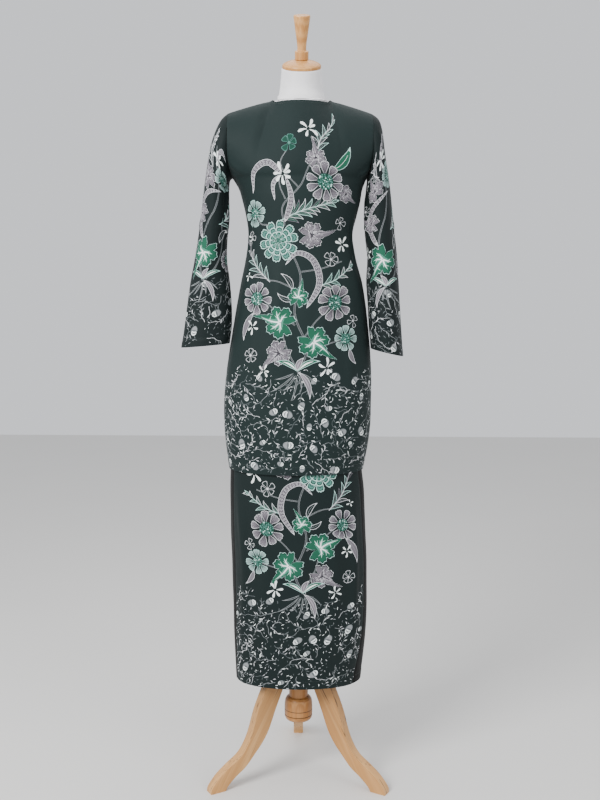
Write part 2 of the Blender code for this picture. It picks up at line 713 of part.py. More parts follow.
def add_stand(wood, white, steel, rings):
    add_loft("dress_form", rings, white)
    add_turned("neck_cap", CAP, wood, on_neck=True)
    add_turned("finial", FINIAL, wood, on_neck=True)
    foot, top = HUB_TOP + GAP, FORM_BOTTOM - GAP
    pole = ((0, foot), (POLE_RADIUS, foot), (POLE_RADIUS, top), (0, top))
    add_turned("pole", pole, steel)
    add_turned("hub", HUB, wood)
    for name, azimuth in LEG_AZIMUTHS.items():
        add_leg(name, azimuth, wood)


def centre(made):
    """Moves all the objects as one, so that the middle of their bounding box stands over the origin."""
    bpy.context.view_layer.update()
    points = np.array([obj.matrix_world @ vert.co for obj in made for vert in obj.data.vertices])
    middle = (points.min(axis=0) + points.max(axis=0)) / 2
    for obj in made:
        obj.location.x -= middle[0]
        obj.location.y -= middle[1]


def build():
    for old in list(bpy.data.objects):
        bpy.data.objects.remove(old)
    printed = material("printed cloth", PRINTED_CLOTH, 0.55)
    plain = material("plain cloth", PLAIN_CLOTH, 0.60)
    white = material("white form", FORM_WHITE, 0.55)
    wood = material("pale wood", WOOD, 0.50)
    steel = material("steel", STEEL, 0.35, metallic=1.0)
    rings = form_rings()
    add_tunic(printed)
    add_skirt(printed, plain, rings)
    add_stand(wood, white, steel, rings)
    centre(list(bpy.context.scene.objects))


build()
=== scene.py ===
"""A baju kurung on a dress form: printed cloth and its sewing, a covered neck, turned wood and carved legs.

Metres, +Z up. The floor is z = 0 and the front faces -Y. Left and right are the wearer's. The garment and the
stand are laid out about the stand's axis, as in the solids, and moved to where the solids have that axis.
"""

import random
from math import atan, cos, pi, radians, sin

import bmesh
import bpy
import numpy as np
from mathutils import Matrix, Vector
from mathutils.geometry import delaunay_2d_cdt


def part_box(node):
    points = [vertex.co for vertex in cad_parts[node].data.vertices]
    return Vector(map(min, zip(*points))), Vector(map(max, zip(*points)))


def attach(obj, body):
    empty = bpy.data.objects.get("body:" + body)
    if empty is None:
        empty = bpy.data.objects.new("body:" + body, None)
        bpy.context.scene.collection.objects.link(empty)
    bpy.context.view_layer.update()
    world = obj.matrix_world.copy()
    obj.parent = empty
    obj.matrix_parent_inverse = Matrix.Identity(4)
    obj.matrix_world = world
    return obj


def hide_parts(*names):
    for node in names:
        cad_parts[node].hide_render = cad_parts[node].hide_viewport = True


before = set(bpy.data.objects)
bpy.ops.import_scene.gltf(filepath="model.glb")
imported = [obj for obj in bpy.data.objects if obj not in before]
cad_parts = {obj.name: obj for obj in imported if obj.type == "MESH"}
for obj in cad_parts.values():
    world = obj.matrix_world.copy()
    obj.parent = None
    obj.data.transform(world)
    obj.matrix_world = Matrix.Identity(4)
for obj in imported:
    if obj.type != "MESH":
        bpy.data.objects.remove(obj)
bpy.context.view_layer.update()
hub_low, hub_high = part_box("hub")
AXIS = np.array([(hub_low.x + hub_high.x) / 2, (hub_low.y + hub_high.y) / 2, 0.0])

# ---------------------------------------------------------------- sizes of the garment, as in its solids


def metres(rows, units=1e4):
    """A table in metres. Its lengths are written in tenths of a millimetre, unless units says otherwise."""
    return np.array(rows, dtype=float) / units


# height, middle x, half width, front depth, back depth
TUNIC = metres([
    (8020, -88, 1684, 1220, 1180), (8480, -75, 1763, 1245, 1205), (9090, -65, 1834, 1255, 1220),
    (9700, -60, 1843, 1250, 1220), (10300, -38, 1819, 1240, 1205), (10900, -14, 1764, 1220, 1175),
    (11500, 8, 1686, 1195, 1125), (12100, 22, 1601, 1170, 1065), (12690, 25, 1492, 1140, 985),
    (13280, 2, 1352, 1125, 915), (13870, -10, 1284, 1150, 885), (14300, 10, 1366, 1200, 905),
    (14670, 8, 1454, 1225, 950), (14910, -10, 1505, 1210, 985), (15180, -40, 1640, 1180, 1010),
])
# the same, then the right and the left seam in degrees from the front
SKIRT = metres([
    (2570, -5, 1605, 1000, 990, -75, 57), (2860, 0, 1628, 1010, 1000, -74.5, 59),
    (3180, 11, 1653, 1025, 1010, -74, 61.5), (3500, 22, 1676, 1040, 1020, -73, 64),
    (3820, 27, 1693, 1050, 1030, -72, 66.5), (4450, 28, 1708, 1070, 1045, -70, 69),
    (5080, 15, 1716, 1090, 1060, -69, 70), (5700, 5, 1719, 1110, 1080, -68.5, 70),
    (6330, -23, 1714, 1130, 1100, -68.5, 69.5), (6950, -45, 1704, 1150, 1115, -68.5, 68.5),
    (7560, -65, 1688, 1160, 1120, -68.5, 68), (8020, -88, 1655, 1160, 1120, -68.5, 68),
    (9000, -65, 1680, 1155, 1120, -69, 68.5), (10000, -30, 1695, 1140, 1130, -69.5, 69),
    (10800, 0, 1680, 1115, 1135, -70, 70), (11500, 0, 1570, 1085, 1085, -70, 70),
    (12100, 0, 1415, 1020, 995, -70, 70), (12700, 0, 1243, 948, 868, -70, 70),
], [1e4] * 5 + [1, 1])
# outer x, outer z, inner x, inner z, half depth, middle y, from the armhole down to the cuff
SLEEVES = {
    "right": metres([
        (-1788, 16740, -1683, 15180, 660, 0), (-1965, 16560, -1715, 15165, 675, -10),
        (-2115, 16250, -1740, 15140, 685, -10), (-2218, 15920, -1758, 15080, 690, -20),
        (-2282, 15560, -1768, 14960, 685, -20), (-2340, 15180, -1768, 14780, 670, -30),
        (-2400, 14740, -1760, 14500, 645, -40), (-2452, 14280, -1758, 14150, 615, -50),
        (-2525, 13750, -1805, 13700, 580, -80), (-2613, 13200, -1812, 13200, 545, -120),
        (-2716, 12640, -1740, 12660, 510, -170), (-2794, 12080, -1695, 12120, 480, -220),
        (-2867, 11500, -1690, 11580, 455, -270), (-2937, 11050, -1745, 11160, 440, -300),
    ]),
    "left": metres([
        (1728, 16740, 1603, 15180, 660, 0), (1885, 16600, 1613, 15165, 675, -10),
        (1965, 16380, 1618, 15140, 685, -10), (2010, 16080, 1615, 15090, 690, -20),
        (2058, 15720, 1603, 14980, 695, -20), (2122, 15350, 1587, 14800, 695, -30),
        (2183, 14950, 1565, 14550, 690, -40), (2240, 14460, 1550, 14220, 680, -50),
        (2300, 13900, 1582, 13780, 670, -80), (2370, 13300, 1640, 13250, 660, -130),
        (2412, 12700, 1615, 12700, 650, -190), (2447, 12100, 1655, 12140, 640, -250),
        (2488, 11500, 1690, 11580, 625, -300), (2536, 10870, 1745, 11050, 610, -340),
    ]),
}
TUNIC_FOLDS = (
    # side, angle at the top, angle at the foot, half width (all in degrees), depth, top height, foot height
    ("front", -52, -66, 9, 0.0045, 1.49, 1.05), ("front", 55, 68, 8, 0.004, 1.47, 1.08),
    ("front", -30, -38, 10, -0.003, 1.42, 0.95), ("front", 34, 44, 10, -0.003, 1.40, 0.98),
    ("back", -40, -50, 10, 0.0045, 1.50, 1.00), ("back", 44, 54, 10, 0.004, 1.48, 0.96),
    ("back", 4, -2, 12, -0.004, 1.56, 1.32),
)
SKIRT_FOLDS = (
    ("front", -52, -56, 9, 0.003, 0.84, 0.30), ("front", 54, 48, 9, 0.003, 0.80, 0.33),
    ("back", -30, -38, 12, 0.004, 0.90, 0.28), ("back", 36, 30, 12, 0.004, 0.88, 0.28),
)
HEM, ARMPIT = TUNIC[0, 0], TUNIC[-1, 0]
SKIRT_HEM, WAIST = SKIRT[0, 0], SKIRT[-1, 0]
SHOULDER, NECK_SIDE = 1.674, 1.705
NECK_HALF, NECK_SHARE = 0.070, 0.4  # half the neckline's width, and its share of the top edge
NECK_FRONT, NECK_BACK = (0.062, 1.697), (0.056, 1.708)  # depth and height
NECK_RISE = 0.0022  # of the shoulder seams beside the neckline
ARMHOLES = {"right": (-0.1680, -0.1785), "left": (0.1600, 0.1725)}  # x at the armpit and at the shoulder
ARMHOLE_DEPTH = 0.066
ROUNDNESS = 2.2  # exponent of the body's sections
CLOTH = 0.0012  # the cloth's own thickness, inside the wall of the solids
GAP = 0.0003  # between the pieces

# ---------------------------------------------------------------- sizes of the stand

# radius and height
CAP = metres([
    (0, 17818), (430, 17818), (462, 17832), (470, 17860), (462, 17890), (420, 17925), (330, 17965),
    (230, 17992), (160, 18006), (0, 18010),
])
FINIAL = metres([
    (0, 18013), (140, 18013), (160, 18022), (165, 18045), (165, 18185), (160, 18205), (142, 18216),
    (118, 18222), (109, 18234), (108, 18300), (122, 18430), (142, 18560), (158, 18670), (172, 18780),
    (194, 18930), (199, 18982), (195, 19006), (180, 19019), (120, 19025), (0, 19026),
])
HUB = metres([
    (0, 1362), (200, 1368), (290, 1392), (335, 1432), (354, 1480), (360, 1520), (359, 1527), (349, 1531),
    (349, 1539), (359, 1543), (362, 1600), (361, 1668), (350, 1672), (350, 1680), (361, 1684), (360, 1780),
    (352, 1880), (330, 1950), (290, 1995), (258, 2015), (245, 2040), (245, 3680), (235, 3700), (205, 3720),
    (0, 3720),
])
# distance from the axis and height, up a leg's outer edge and then down its inner edge
LEG_OUTER = metres([
    (2560, 0), (2530, 130), (2340, 360), (2060, 580), (1720, 810), (1520, 1090), (1390, 1400), (1250, 1860),
    (1040, 2350), (790, 2850), (560, 3250), (248, 3600),
])
LEG_INNER = metres([
    (248, 2980), (400, 2640), (580, 2220), (740, 1850), (940, 1340), (1130, 1030), (1370, 750), (1600, 500),
    (1860, 320), (2090, 120), (2160, 0),
])
LEG_WIDTH, LEG_EDGE = 0.026, 0.0032
COLUMN = 0.0245  # radius of the hub between its ends
LEG_AZIMUTHS = {"leg_front_right": 210.0, "leg_front_left": 330.0, "leg_back": 90.0}
FORM_TOP = 1.7815  # along the neck, before it is leaned forward
NECK_BASE, NECK_LEAN = 1.704, radians(22.0)
GROOVES = (0.1535, 0.1680)  # heights of the grooves in the hub, which are drawn dark

# ---------------------------------------------------------------- curves and surfaces, as in the solids


def ease(x):
    x = np.clip(x, 0.0, 1.0)
    return x * x * (3 - 2 * x)


def bell(x, width):
    return np.exp(-((x / width) ** 2))


def joined(*parts):
    """Coordinates put together to points."""
    return np.stack(np.broadcast_arrays(*parts), axis=-1)


def unit(vectors):
    return vectors / np.linalg.norm(vectors, axis=-1, keepdims=True)


def distances(line):
    """How far along a line each of its points is."""
    return np.concatenate([[0], np.cumsum(np.linalg.norm(np.diff(line, axis=0), axis=1))])


def sample(rows, at, keys):
    """The row at a place between keys that rise."""
    return np.array([np.interp(at, keys, column) for column in rows.T])


def hermite(t, start, start_way, stop, stop_way):
    """A cubic curve between two points, with its ways at them."""
    return (
        (2 * t**3 - 3 * t**2 + 1) * start
        + (t**3 - 2 * t**2 + t) * start_way
        + (3 * t**2 - 2 * t**3) * stop
        + (t**3 - t**2) * stop_way
    )


def smooth(table, key):
    """The table's row at each key, on cubic curves through its rows. The first column is the key."""
    keys, rows = table[:, 0], table[:, 1:]
    slopes = np.gradient(rows, keys, axis=0)
    i = np.clip(np.searchsorted(keys, key) - 1, 0, len(keys) - 2)
    step = (keys[i + 1] - keys[i])[..., None]
    t = (key - keys[i])[..., None] / step
    return hermite(t, rows[i], step * slopes[i], rows[i + 1], step * slopes[i + 1])


def curve_points(points, steps):
    """Points on a smooth curve through these, with so many steps from one to the next."""
    last = len(points) - 1
    rows = np.column_stack([np.arange(last + 1.0), points])
    return smooth(rows, np.linspace(0, last, steps * last + 1))


def bow(start, stop, bend, count=9):
    """Points from start to stop, bowed to the left of the way by a share of the distance."""
    start, stop = np.array(start, dtype=float), np.array(stop, dtype=float)
    way, t = stop - start, np.linspace(0, 1, count)[:, None]
    return start + way * t + np.array([-way[1], way[0]]) * bend * 4 * t * (1 - t)


def section_point(middle, half, front, back, angle, z):
    """The point of a body section at an angle in radians, counted from the front (-Y) towards +X."""
    out, forward = (np.sign(x) * np.abs(x) ** (2 / ROUNDNESS) for x in (np.sin(angle), np.cos(angle)))
    return joined(middle + half * out, -np.where(forward > 0, front, back) * forward, z)


def leaned(points):
    """Points of an upright neck, with what stands on it, bent forward about the neck's base."""
    x, y, z = np.moveaxis(np.array(points, dtype=float), -1, 0)
    length, rise = FORM_TOP - NECK_BASE, z - NECK_BASE
    turn = NECK_LEAN * np.clip(rise / length, 0, 1)
    beyond = np.clip(rise - length, 0, None)
    middle_y = -length / NECK_LEAN * (1 - np.cos(turn)) - beyond * np.sin(turn)
    middle_z = NECK_BASE + length / NECK_LEAN * np.sin(turn) + beyond * np.cos(turn) + np.clip(rise, None, 0)
    return joined(x, middle_y + y * np.cos(turn), middle_z + y * np.sin(turn))


def fold_height(folds, side, degrees, z):
    """How far the folds move the cloth out, at an angle from the middle of the panel and at a height."""
    height = 0.0
    for fold_side, top_angle, foot_angle, half_width, depth, top, foot in folds:
        if fold_side == side:
            along = (top - z) / (top - foot)
            away = degrees - top_angle - (foot_angle - top_angle) * along
            height = height + depth * bell(away, half_width) * ease(along * 3) * ease((1.25 - along) * 2.5)
    return height


def armhole_point(side, v, forward):
    """The armhole seam from the armpit (v = 0) to the shoulder (v = 1), round its front or its back."""
    armpit_x, shoulder_x = ARMHOLES[side]
    return joined(
        armpit_x + (shoulder_x - armpit_x) * ease(2.2 * v),
        -forward * ARMHOLE_DEPTH * np.sin(pi * v),
        (ARMPIT + SHOULDER) / 2 - (SHOULDER - ARMPIT) / 2 * np.cos(pi * v),
    )


def top_edge_point(s, forward):
    """A tunic panel's top edge: the neckline in the middle and the shoulder seams at its sides."""
    size, sign = np.abs(s), np.sign(s)
    depth, z = NECK_FRONT if forward > 0 else NECK_BACK
    share = np.clip(size / NECK_SHARE, 0, 1)
    turn = share * pi / 2
    neck = joined(
        NECK_HALF * np.sin(turn) * sign,
        -forward * depth * np.cos(turn),
        z + (NECK_SIDE + NECK_RISE - z) * share**4,
    )
    out = np.clip((size - NECK_SHARE) / (1 - NECK_SHARE), 0, None)
    shoulder_x = np.where(sign > 0, ARMHOLES["left"][1], ARMHOLES["right"][1])
    shoulder = joined(
        NECK_HALF * sign + (shoulder_x - NECK_HALF * sign) * out,
        0.0,
        NECK_SIDE + (SHOULDER - NECK_SIDE) * out**1.15 + NECK_RISE * bell(out, 0.05),
    )
    return np.where((size <= NECK_SHARE)[..., None], neck, shoulder)


def lower_tunic(s, z, forward):
    middle, half, front, back = np.moveaxis(smooth(TUNIC, z), -1, 0)
    side, depth = ("front", front) if forward > 0 else ("back", back)
    angle = s * pi / 2
    bulge = fold_height(TUNIC_FOLDS, side, 90 * s, z) * np.clip(np.cos(angle), 0, 1) ** 0.5
    return section_point(middle, half + bulge, depth + bulge, depth + bulge, angle, z) * (1, forward, 1)


def upper_tunic(s, v, forward, below=0.004):
    """From the armpits' level (v = 0) to the top edge (v = 1), drawn out to the armholes at the sides."""

    def loft(s):
        level = np.full_like(s, ARMPIT)
        base = lower_tunic(s, level, forward)
        rise = (base - lower_tunic(s, level - below, forward)) / below
        on_shoulder = ease((np.abs(s) - 0.2) / 0.35)
        base_way = 0.17 * joined(0.2 * rise[..., 0], rise[..., 1], 1.0)
        top_way = joined(0.0, forward * (0.05 + 0.08 * on_shoulder), 0.13 - 0.10 * on_shoulder)
        return hermite(v[..., None], base, base_way, top_edge_point(s, forward), top_way)

    point = loft(s)
    for side, sign in (("right", -1.0), ("left", 1.0)):
        weight = np.clip((1 + sign * s) / 2, 0, None) ** 3
        point = point + weight[..., None] * (armhole_point(side, v, forward) - loft(np.full_like(s, sign)))
    return point


def tunic_surface(forward):
    """The tunic's front (forward = 1) or back (-1). v is 0 at the hem, 1 at the armpits and 2 at the
    shoulders; s runs from the wearer's right (-1) to the left (1)."""

    def surface(s, v):
        share = np.abs(s) / NECK_SHARE
        drop = 0.022 * ease((share - 0.35) / 0.4) * ease((1.0 - share) / 0.05) * (forward > 0)
        v = v - drop * np.clip(v - 1, 0, None)
        low = lower_tunic(s, HEM + (ARMPIT - HEM) * np.clip(v, None, 1), forward)
        high = upper_tunic(s, np.clip(v - 1, 0, None), forward)
        return np.where((v <= 1)[..., None], low, high) + (0, -forward * GAP / 2, 0)

    return surface


def skirt_surface(side):
    """The skirt's front or back. s runs from 0 to 1 between its seams, v up to 1."""

    def surface(s, v):
        z = SKIRT_HEM + (WAIST - GAP - SKIRT_HEM) * v
        middle, half, front, back, right_seam, left_seam = np.moveaxis(smooth(SKIRT, z), -1, 0)
        inset = np.degrees(0.7 * GAP / half)
        start, stop, turn = right_seam + inset, left_seam - inset, 0
        if side == "back":
            start, stop, turn = left_seam + inset, right_seam + 360 - inset, 180
        degrees = start + (stop - start) * s
        bulge = fold_height(SKIRT_FOLDS, side, degrees - turn, z)
        return section_point(middle, half + bulge, front + bulge, back + bulge, np.radians(degrees), z)

    return surface


def sleeve_surface(side):
    """A sleeve. u runs once round it from its top by its front, v from the armhole down to the cuff."""
    rows = np.column_stack([np.arange(float(len(SLEEVES[side]))), SLEEVES[side]])
    seam_gap = (GAP if side == "left" else -GAP, 0, 0)

    def ring(u, t):
        outer_x, outer_z, inner_x, inner_z, half_depth, middle_y = np.moveaxis(smooth(rows, t), -1, 0)
        along, across = np.cos(2 * pi * u), np.sin(2 * pi * u)
        return joined(
            (outer_x + inner_x) / 2 + (outer_x - inner_x) / 2 * along,
            middle_y - half_depth * across,
            (outer_z + inner_z) / 2 + (outer_z - inner_z) / 2 * along,
        )

    def surface(u, v):
        t = v * (len(rows) - 1)
        turn = np.mod(u, 1.0)
        forward = np.where(turn < 0.5, 1.0, -1.0)
        seam = armhole_point(side, 1 - 2 * np.minimum(turn, 1 - turn), forward) + seam_gap
        weight = np.clip(1 - t / 2.5, 0, None) ** 2
        return ring(u, t) + weight[..., None] * (seam - ring(u, 0 * t))

    return surface


# ---------------------------------------------------------------- drawing the print, flat and in metres

# The skirt's and the sleeves' grounds are the tunic's ground made darker. This is painted shade, for the lesser light
# that falls on them.
GROUND, SKIRT_GROUND_WITH_PAINTED_SHADE, SLEEVE_GROUND_WITH_PAINTED_SHADE = (0.0096, 0.0180, 0.0176), (0.0076, 0.0139, 0.0138), (0.0060, 0.0110, 0.0110)
PLAIN = (0.0038, 0.0043, 0.0041)
WHITE, SILVER, ASH = (0.84, 0.90, 0.88), (0.60, 0.61, 0.63), (0.235, 0.250, 0.258)
DIM, DUSK = (0.110, 0.125, 0.130), (0.045, 0.052, 0.055)
LILAC, LILAC_LIGHT, LILAC_DARK = (0.142, 0.130, 0.150), (0.290, 0.270, 0.300), (0.028, 0.027, 0.033)
MINT, MINT_PALE, TEAL = (0.078, 0.205, 0.172), (0.430, 0.650, 0.600), (0.030, 0.092, 0.080)
EMERALD, EMERALD_LIGHT, EMERALD_DARK = (0.013, 0.092, 0.053), (0.064, 0.225, 0.160), (0.008, 0.050, 0.033)
VINE_TONES = (DIM, DIM, ASH, SILVER, SILVER, WHITE)
CUFF_TONES = (DIM, DIM, DIM, DIM, ASH, ASH, SILVER)
# edge, shade inside it, fill, glow along the veins and veins, of a lobed leaf
GREENS = (MINT_PALE, EMERALD_DARK, EMERALD, EMERALD_LIGHT, WHITE)
GREYED = (SILVER, LILAC_DARK, LILAC, LILAC_LIGHT, LILAC_DARK)
# edge, fill and veins of a flower
LILACS = (SILVER, LILAC, LILAC_DARK)
GREYS = (MINT_PALE, (0.20, 0.29, 0.28), EMERALD_DARK)
# edge, fill, midrib and shine of a broad blade
GREEN_BLADE, LILAC_BLADE = (MINT_PALE, EMERALD, EMERALD_LIGHT, WHITE), (SILVER, LILAC, ASH, LILAC_LIGHT)

LINE = 0.0012  # width of a drawn line
# along and across, for half of a petal with a notched tip
HALF_PETAL = np.array([
    (0, 0.10), (0.20, 0.15), (0.42, 0.31), (0.62, 0.46), (0.78, 0.50), (0.91, 0.43), (0.97, 0.28), (0.94, 0.16),
    (1, 0.05),
])
PETAL = np.concatenate([HALF_PETAL, HALF_PETAL[::-1] * (1, -1)]).T[:, :, None]
LEAF = np.array([0.0, 0.40, 0.76, 0.96, 1.0, 0.88, 0.64, 0.34, 0.0])
SCALLOPS = (
    # reach, width and colour of the rows of a double flower, from its rim inwards
    (1.00, 1.00, MINT_PALE), (0.955, 0.84, EMERALD_DARK), (0.90, 0.66, MINT), (0.80, 0.50, TEAL),
    (0.70, 0.84, MINT_PALE), (0.655, 0.66, EMERALD_DARK), (0.60, 0.48, MINT), (0.52, 0.36, TEAL),
    (0.46, 0.62, MINT_PALE), (0.415, 0.44, EMERALD_DARK), (0.36, 0.30, MINT),
)


def step(place, far, angle):
    """The place at a distance from another, at an angle."""
    return place[0] + far * cos(angle), place[1] + far * sin(angle)


def left_of(path):
    """Unit vectors to the left of a path, at each of its points."""
    way = np.gradient(path, axis=0)
    return np.stack([-way[:, 1], way[:, 0]], 1) / np.maximum(np.hypot(*way.T), 1e-9)[:, None]


class Drawing:
    """Shapes of one colour each, later ones over earlier ones. Points are (across, up), in metres."""

    def __init__(self, seed):
        self.shapes = []
        self.random = random.Random(seed)
        self.uniform, self.choice = self.random.uniform, self.random.choice

    def around(self, count, turn, wobble):
        """Angles evenly round a flower, each a little off."""
        for i in range(count):
            yield turn + i * 2 * pi / count + self.uniform(-wobble, wobble)

    def fill(self, points, colour):
        points = np.asarray(points, dtype=float)
        x, z = points.T
        if np.sum(x * np.roll(z, -1) - np.roll(x, -1) * z) < 0:
            points = points[::-1]
        self.shapes.append((points, colour))

    def disc(self, centre, radius, colour, sides=12):
        angle = np.arange(sides) / sides * 2 * pi
        self.fill(np.array(centre) + radius * joined(np.cos(angle), np.sin(angle)), colour)

    def stroke(self, path, widths, colour):
        """A line along a path, with its full width at evenly spaced places. It is pointed where that is 0."""
        path = np.asarray(path, dtype=float)
        half = np.interp(np.linspace(0, 1, len(path)), np.linspace(0, 1, len(widths)), widths)[:, None] / 2
        side = left_of(path) * half
        keep_first, keep_last = int(half[0, 0] < 1e-6), int(half[-1, 0] < 1e-6)
        back = (path - side)[::-1][keep_last : len(path) - keep_first]
        self.fill(np.concatenate([path + side, back]), colour)

    def outlined(self, path, profile, edge, fill, line=LINE):
        """A shape of varying width along a path, with a drawn edge."""
        self.stroke(path, profile, edge)
        inner = np.maximum(profile - 2 * line, 0.0)
        inside = np.nonzero(inner > 0.0004)[0]
        if len(inside) > 1:
            wide = slice(inside[0], inside[-1] + 1)
            self.stroke(path[wide], inner[wide], fill)

    def stem(self, path, width):
        self.outlined(path, np.linspace(width, 0.7 * width, len(path)), ASH, DUSK, 0.0007)

    def leaf(self, ends, width, edge, fill, bend=0.12, vein=ASH):
        """A pointed leaf with an edge and a midrib."""
        path = bow(*ends, bend)
        self.outlined(path, LEAF * width, edge, fill, 0.9 * LINE)
        self.stroke(path[:-2], [LINE * 0.8, LINE * 0.6, LINE * 0.4], vein)

    def petal(self, centre, turn, near, far, width, edge, fill=None, vein=None, inset=LINE):
        """A petal with a notched tip, from its near to its far distance from the flower's centre."""
        way, long = np.array([cos(turn), sin(turn)]), far - near
        side = np.array([-way[1], way[0]])

        def spot(along, across, near=near, long=long, width=width):
            return np.array(centre) + way * (near + long * along) + side * across * width

        self.fill(spot(*PETAL), edge)
        if fill is None:
            return
        self.fill(spot(*PETAL, near + inset, long - 2.0 * inset, max(0.0, width - 2.2 * inset)), fill)
        if vein is None:
            return
        for share, reach in ((-0.62, 0.66), (0.0, 0.56), (0.62, 0.66)):
            foot, tip = spot(0.12, 0.10 * share), spot(reach, 0.36 * share)
            self.stroke([foot, (foot + tip) / 2, tip], [LINE * 0.8, LINE * 1.3, LINE * 0.5], vein)
        for share in (-0.28, 0.0, 0.28):
            self.disc(spot(0.82 - 0.25 * abs(share), share), LINE * 0.62, edge, 5)

    def heart(self, centre, size):
        """The stippled middle of a flower."""
        self.disc(centre, size * 1.04, EMERALD_DARK, 16)
        for count, ring in ((17, 0.88), (13, 0.66), (8, 0.42), (3, 0.16)):
            for at in self.around(count, 0.0, 0.16):
                far = size * ring * self.uniform(0.92, 1.08)
                dot = size * self.uniform(0.08, 0.14)
                self.disc(step(centre, far, at), dot, self.choice((MINT_PALE, MINT, MINT)), 5)

    def flower(self, centre, radius, turn, petals, edge, fill, vein):
        """An open flower of round petals that stand apart, about a stippled heart."""
        width = 2 * pi * 0.74 * radius / petals * 0.94
        for at in self.around(petals, turn, 0.06):
            reach = radius * self.uniform(0.93, 1.07)
            wide = width * self.uniform(0.92, 1.06)
            self.petal(centre, at, 0.32 * radius, reach, wide, edge, fill, vein)
        self.heart(centre, 0.41 * radius)

    def double_flower(self, centre, radius, turn, petals=10, rays=7):
        """A full flower whose petals are drawn as rows of scallops, one inside the other."""
        width = 2 * pi * 0.74 * radius / petals * 0.88
        for at in self.around(petals, turn, 0.04):
            for share, slim, colour in SCALLOPS:
                self.petal(centre, at, 0.14 * radius, radius * share, width * slim, colour)
        for i in range(rays):
            tip = step(centre, 0.30 * radius, turn + i * 2 * pi / rays)
            self.stroke([centre, tip], np.array([0.02, 0.09, 0.05]) * radius, EMERALD)
        self.heart(centre, 0.13 * radius)

    def star(self, centre, radius, turn, petals):
        """A small blossom of fat narrow petals."""
        profile = np.array([0.06, 0.11, 0.18, 0.25, 0.27, 0.13]) * radius
        for at in self.around(petals, turn, 0.25):
            ends = [step(centre, far, at) for far in (0.16 * radius, radius * self.uniform(0.70, 1.12))]
            self.stroke(bow(*ends, self.uniform(-0.14, 0.14), 6), profile, WHITE)

    def loops(self, centre, radius, turn, petals, edge=SILVER, fill=GROUND):
        """A small blossom that is drawn in outline only."""
        for at in self.around(petals, turn, 0.2):
            reach = radius * self.uniform(0.78, 1.08)
            self.petal(centre, at, 0.10 * radius, reach, 0.72 * radius, edge, fill, None, LINE * 0.9)
        self.disc(centre, 0.15 * radius, edge, 6)

    def spray(self, path, length, width, pairs, edges, fill):
        """Leaves in pairs up a curved stem, shorter towards its tip."""
        t = np.linspace(0, 1, len(path))
        for i in range(pairs):
            at = 0.06 + 0.86 * i / max(1, pairs - 1)
            for sign in (-1, 1):
                spot = at + sign * 0.20 / pairs
                foot = sample(path, spot, t)
                ahead = sample(path, min(1, spot + 0.05), t) - foot
                way = np.arctan2(ahead[1], ahead[0]) + sign * radians(37 - 10 * at)
                tip = step(foot, length * (1.22 - 0.44 * at) * self.uniform(0.86, 1.12), way)
                self.leaf((foot, tip), width * (1.08 - 0.24 * at), self.choice(edges), fill, -0.13 * sign)
        self.stroke(path, [0.0019, 0.0015, 0.0010], edges[0])
        tip = path[-1] + unit(path[-1] - path[-2]) * length * 0.62
        self.leaf((path[-1], tip), width * 0.75, edges[0], fill, 0.0)

    def palm(self, centre, size, turn, tones=GREENS, drip=1.55):
        """A broad scalloped leaf that runs out in a long tip, paler along the veins that spread from its foot."""
        edge, shade, fill, glow, vein = tones
        angle = np.linspace(-pi, pi, 97)[:-1]
        reach = 0.56 + 0.27 * np.abs(np.cos(angle * 3.5)) ** 0.55 + 0.035 * np.cos(angle * 21)
        reach = reach - 0.34 * ease((np.abs(angle) - 2.65) / 0.45)
        reach = np.maximum(reach, drip * np.exp(-np.abs(angle / 0.25) ** 1.1))

        def spot(angle, reach):
            bent = turn + (angle + 0.16 * np.maximum(0, reach - 0.8))
            return joined(centre[0] + size * reach * np.cos(bent), centre[1] + size * reach * np.sin(bent))

        self.fill(spot(angle, reach), edge)
        self.fill(spot(angle, reach - 0.60 * LINE / size - 0.012), shade)
        self.fill(spot(angle, 0.94 * reach - 1.10 * LINE / size - 0.02), fill)
        ribs = ((0.0, drip * 0.72), (0.95, 0.62), (-0.95, 0.62), (1.85, 0.54), (-1.85, 0.54))
        for widths, colour in (((0.29, 0.26, 0.13, 0.0), glow), ((0.085, 0.064, 0.030, 0.0), vein)):
            widths = np.array(widths) * size
            for out, far in ribs:
                path = bow(spot(out, 0.02), spot(out, far), 0.06, 7)
                self.stroke(path, widths, colour)
                for share, turned in ((0.36, 0.36), (0.50, -0.32)):
                    tip = spot(out + turned, min(far, 0.7) * (share + 0.34))
                    self.stroke([path[int(share * 6)], tip], [0.40 * widths[1], 0.06 * widths[1]], colour)

    def lobed(self, centre, size, turn, dashes=54):
        """The same leaf in lilac, closely lined."""
        self.palm(centre, size, turn, GREYED, 1.75)
        for _ in range(dashes):
            at, far = turn + self.uniform(-2.6, 2.6), self.uniform(0.16, 0.70)
            ends = [step(centre, size * (far + half), at) for half in (-0.06, 0.06)]
            self.stroke(ends, [LINE * 0.7] * 2, self.choice((SILVER, SILVER, LILAC_DARK)))

    def crescent(self, path, width):
        """A long curved pod with a pale edge, closely marked with dashes."""
        profile = 0.80 * width * np.sin(pi * np.linspace(0, 1, len(path)) ** 0.72) ** 0.62
        self.outlined(path, profile, SILVER, LILAC, LINE * 0.8)
        length, side = distances(path), left_of(path)
        along, row = 0.008, 0
        while along < length[-1] - 0.008:
            here, across = sample(path, along, length), sample(side, along, length)
            reach = np.array([across[1], -across[0]]) * 0.0011
            for share in (-0.28, 0.0, 0.28) if row % 2 else (-0.14, 0.14):
                middle = here + across * np.interp(along, length, profile) * share
                dash = [middle - reach, middle + reach]
                self.stroke(dash, [LINE * 0.8] * 2, SILVER if row % 3 else LILAC_DARK)
            along, row = along + 0.0028, row + 1

    def bud(self, x, z, size, turn):
        """A round bud with curved stripes, like a small shell."""
        c, s = cos(turn), sin(turn)

        def turned(points):
            return np.asarray(points) @ np.array([[c, s], [-s, c]]) * size + (x, z)

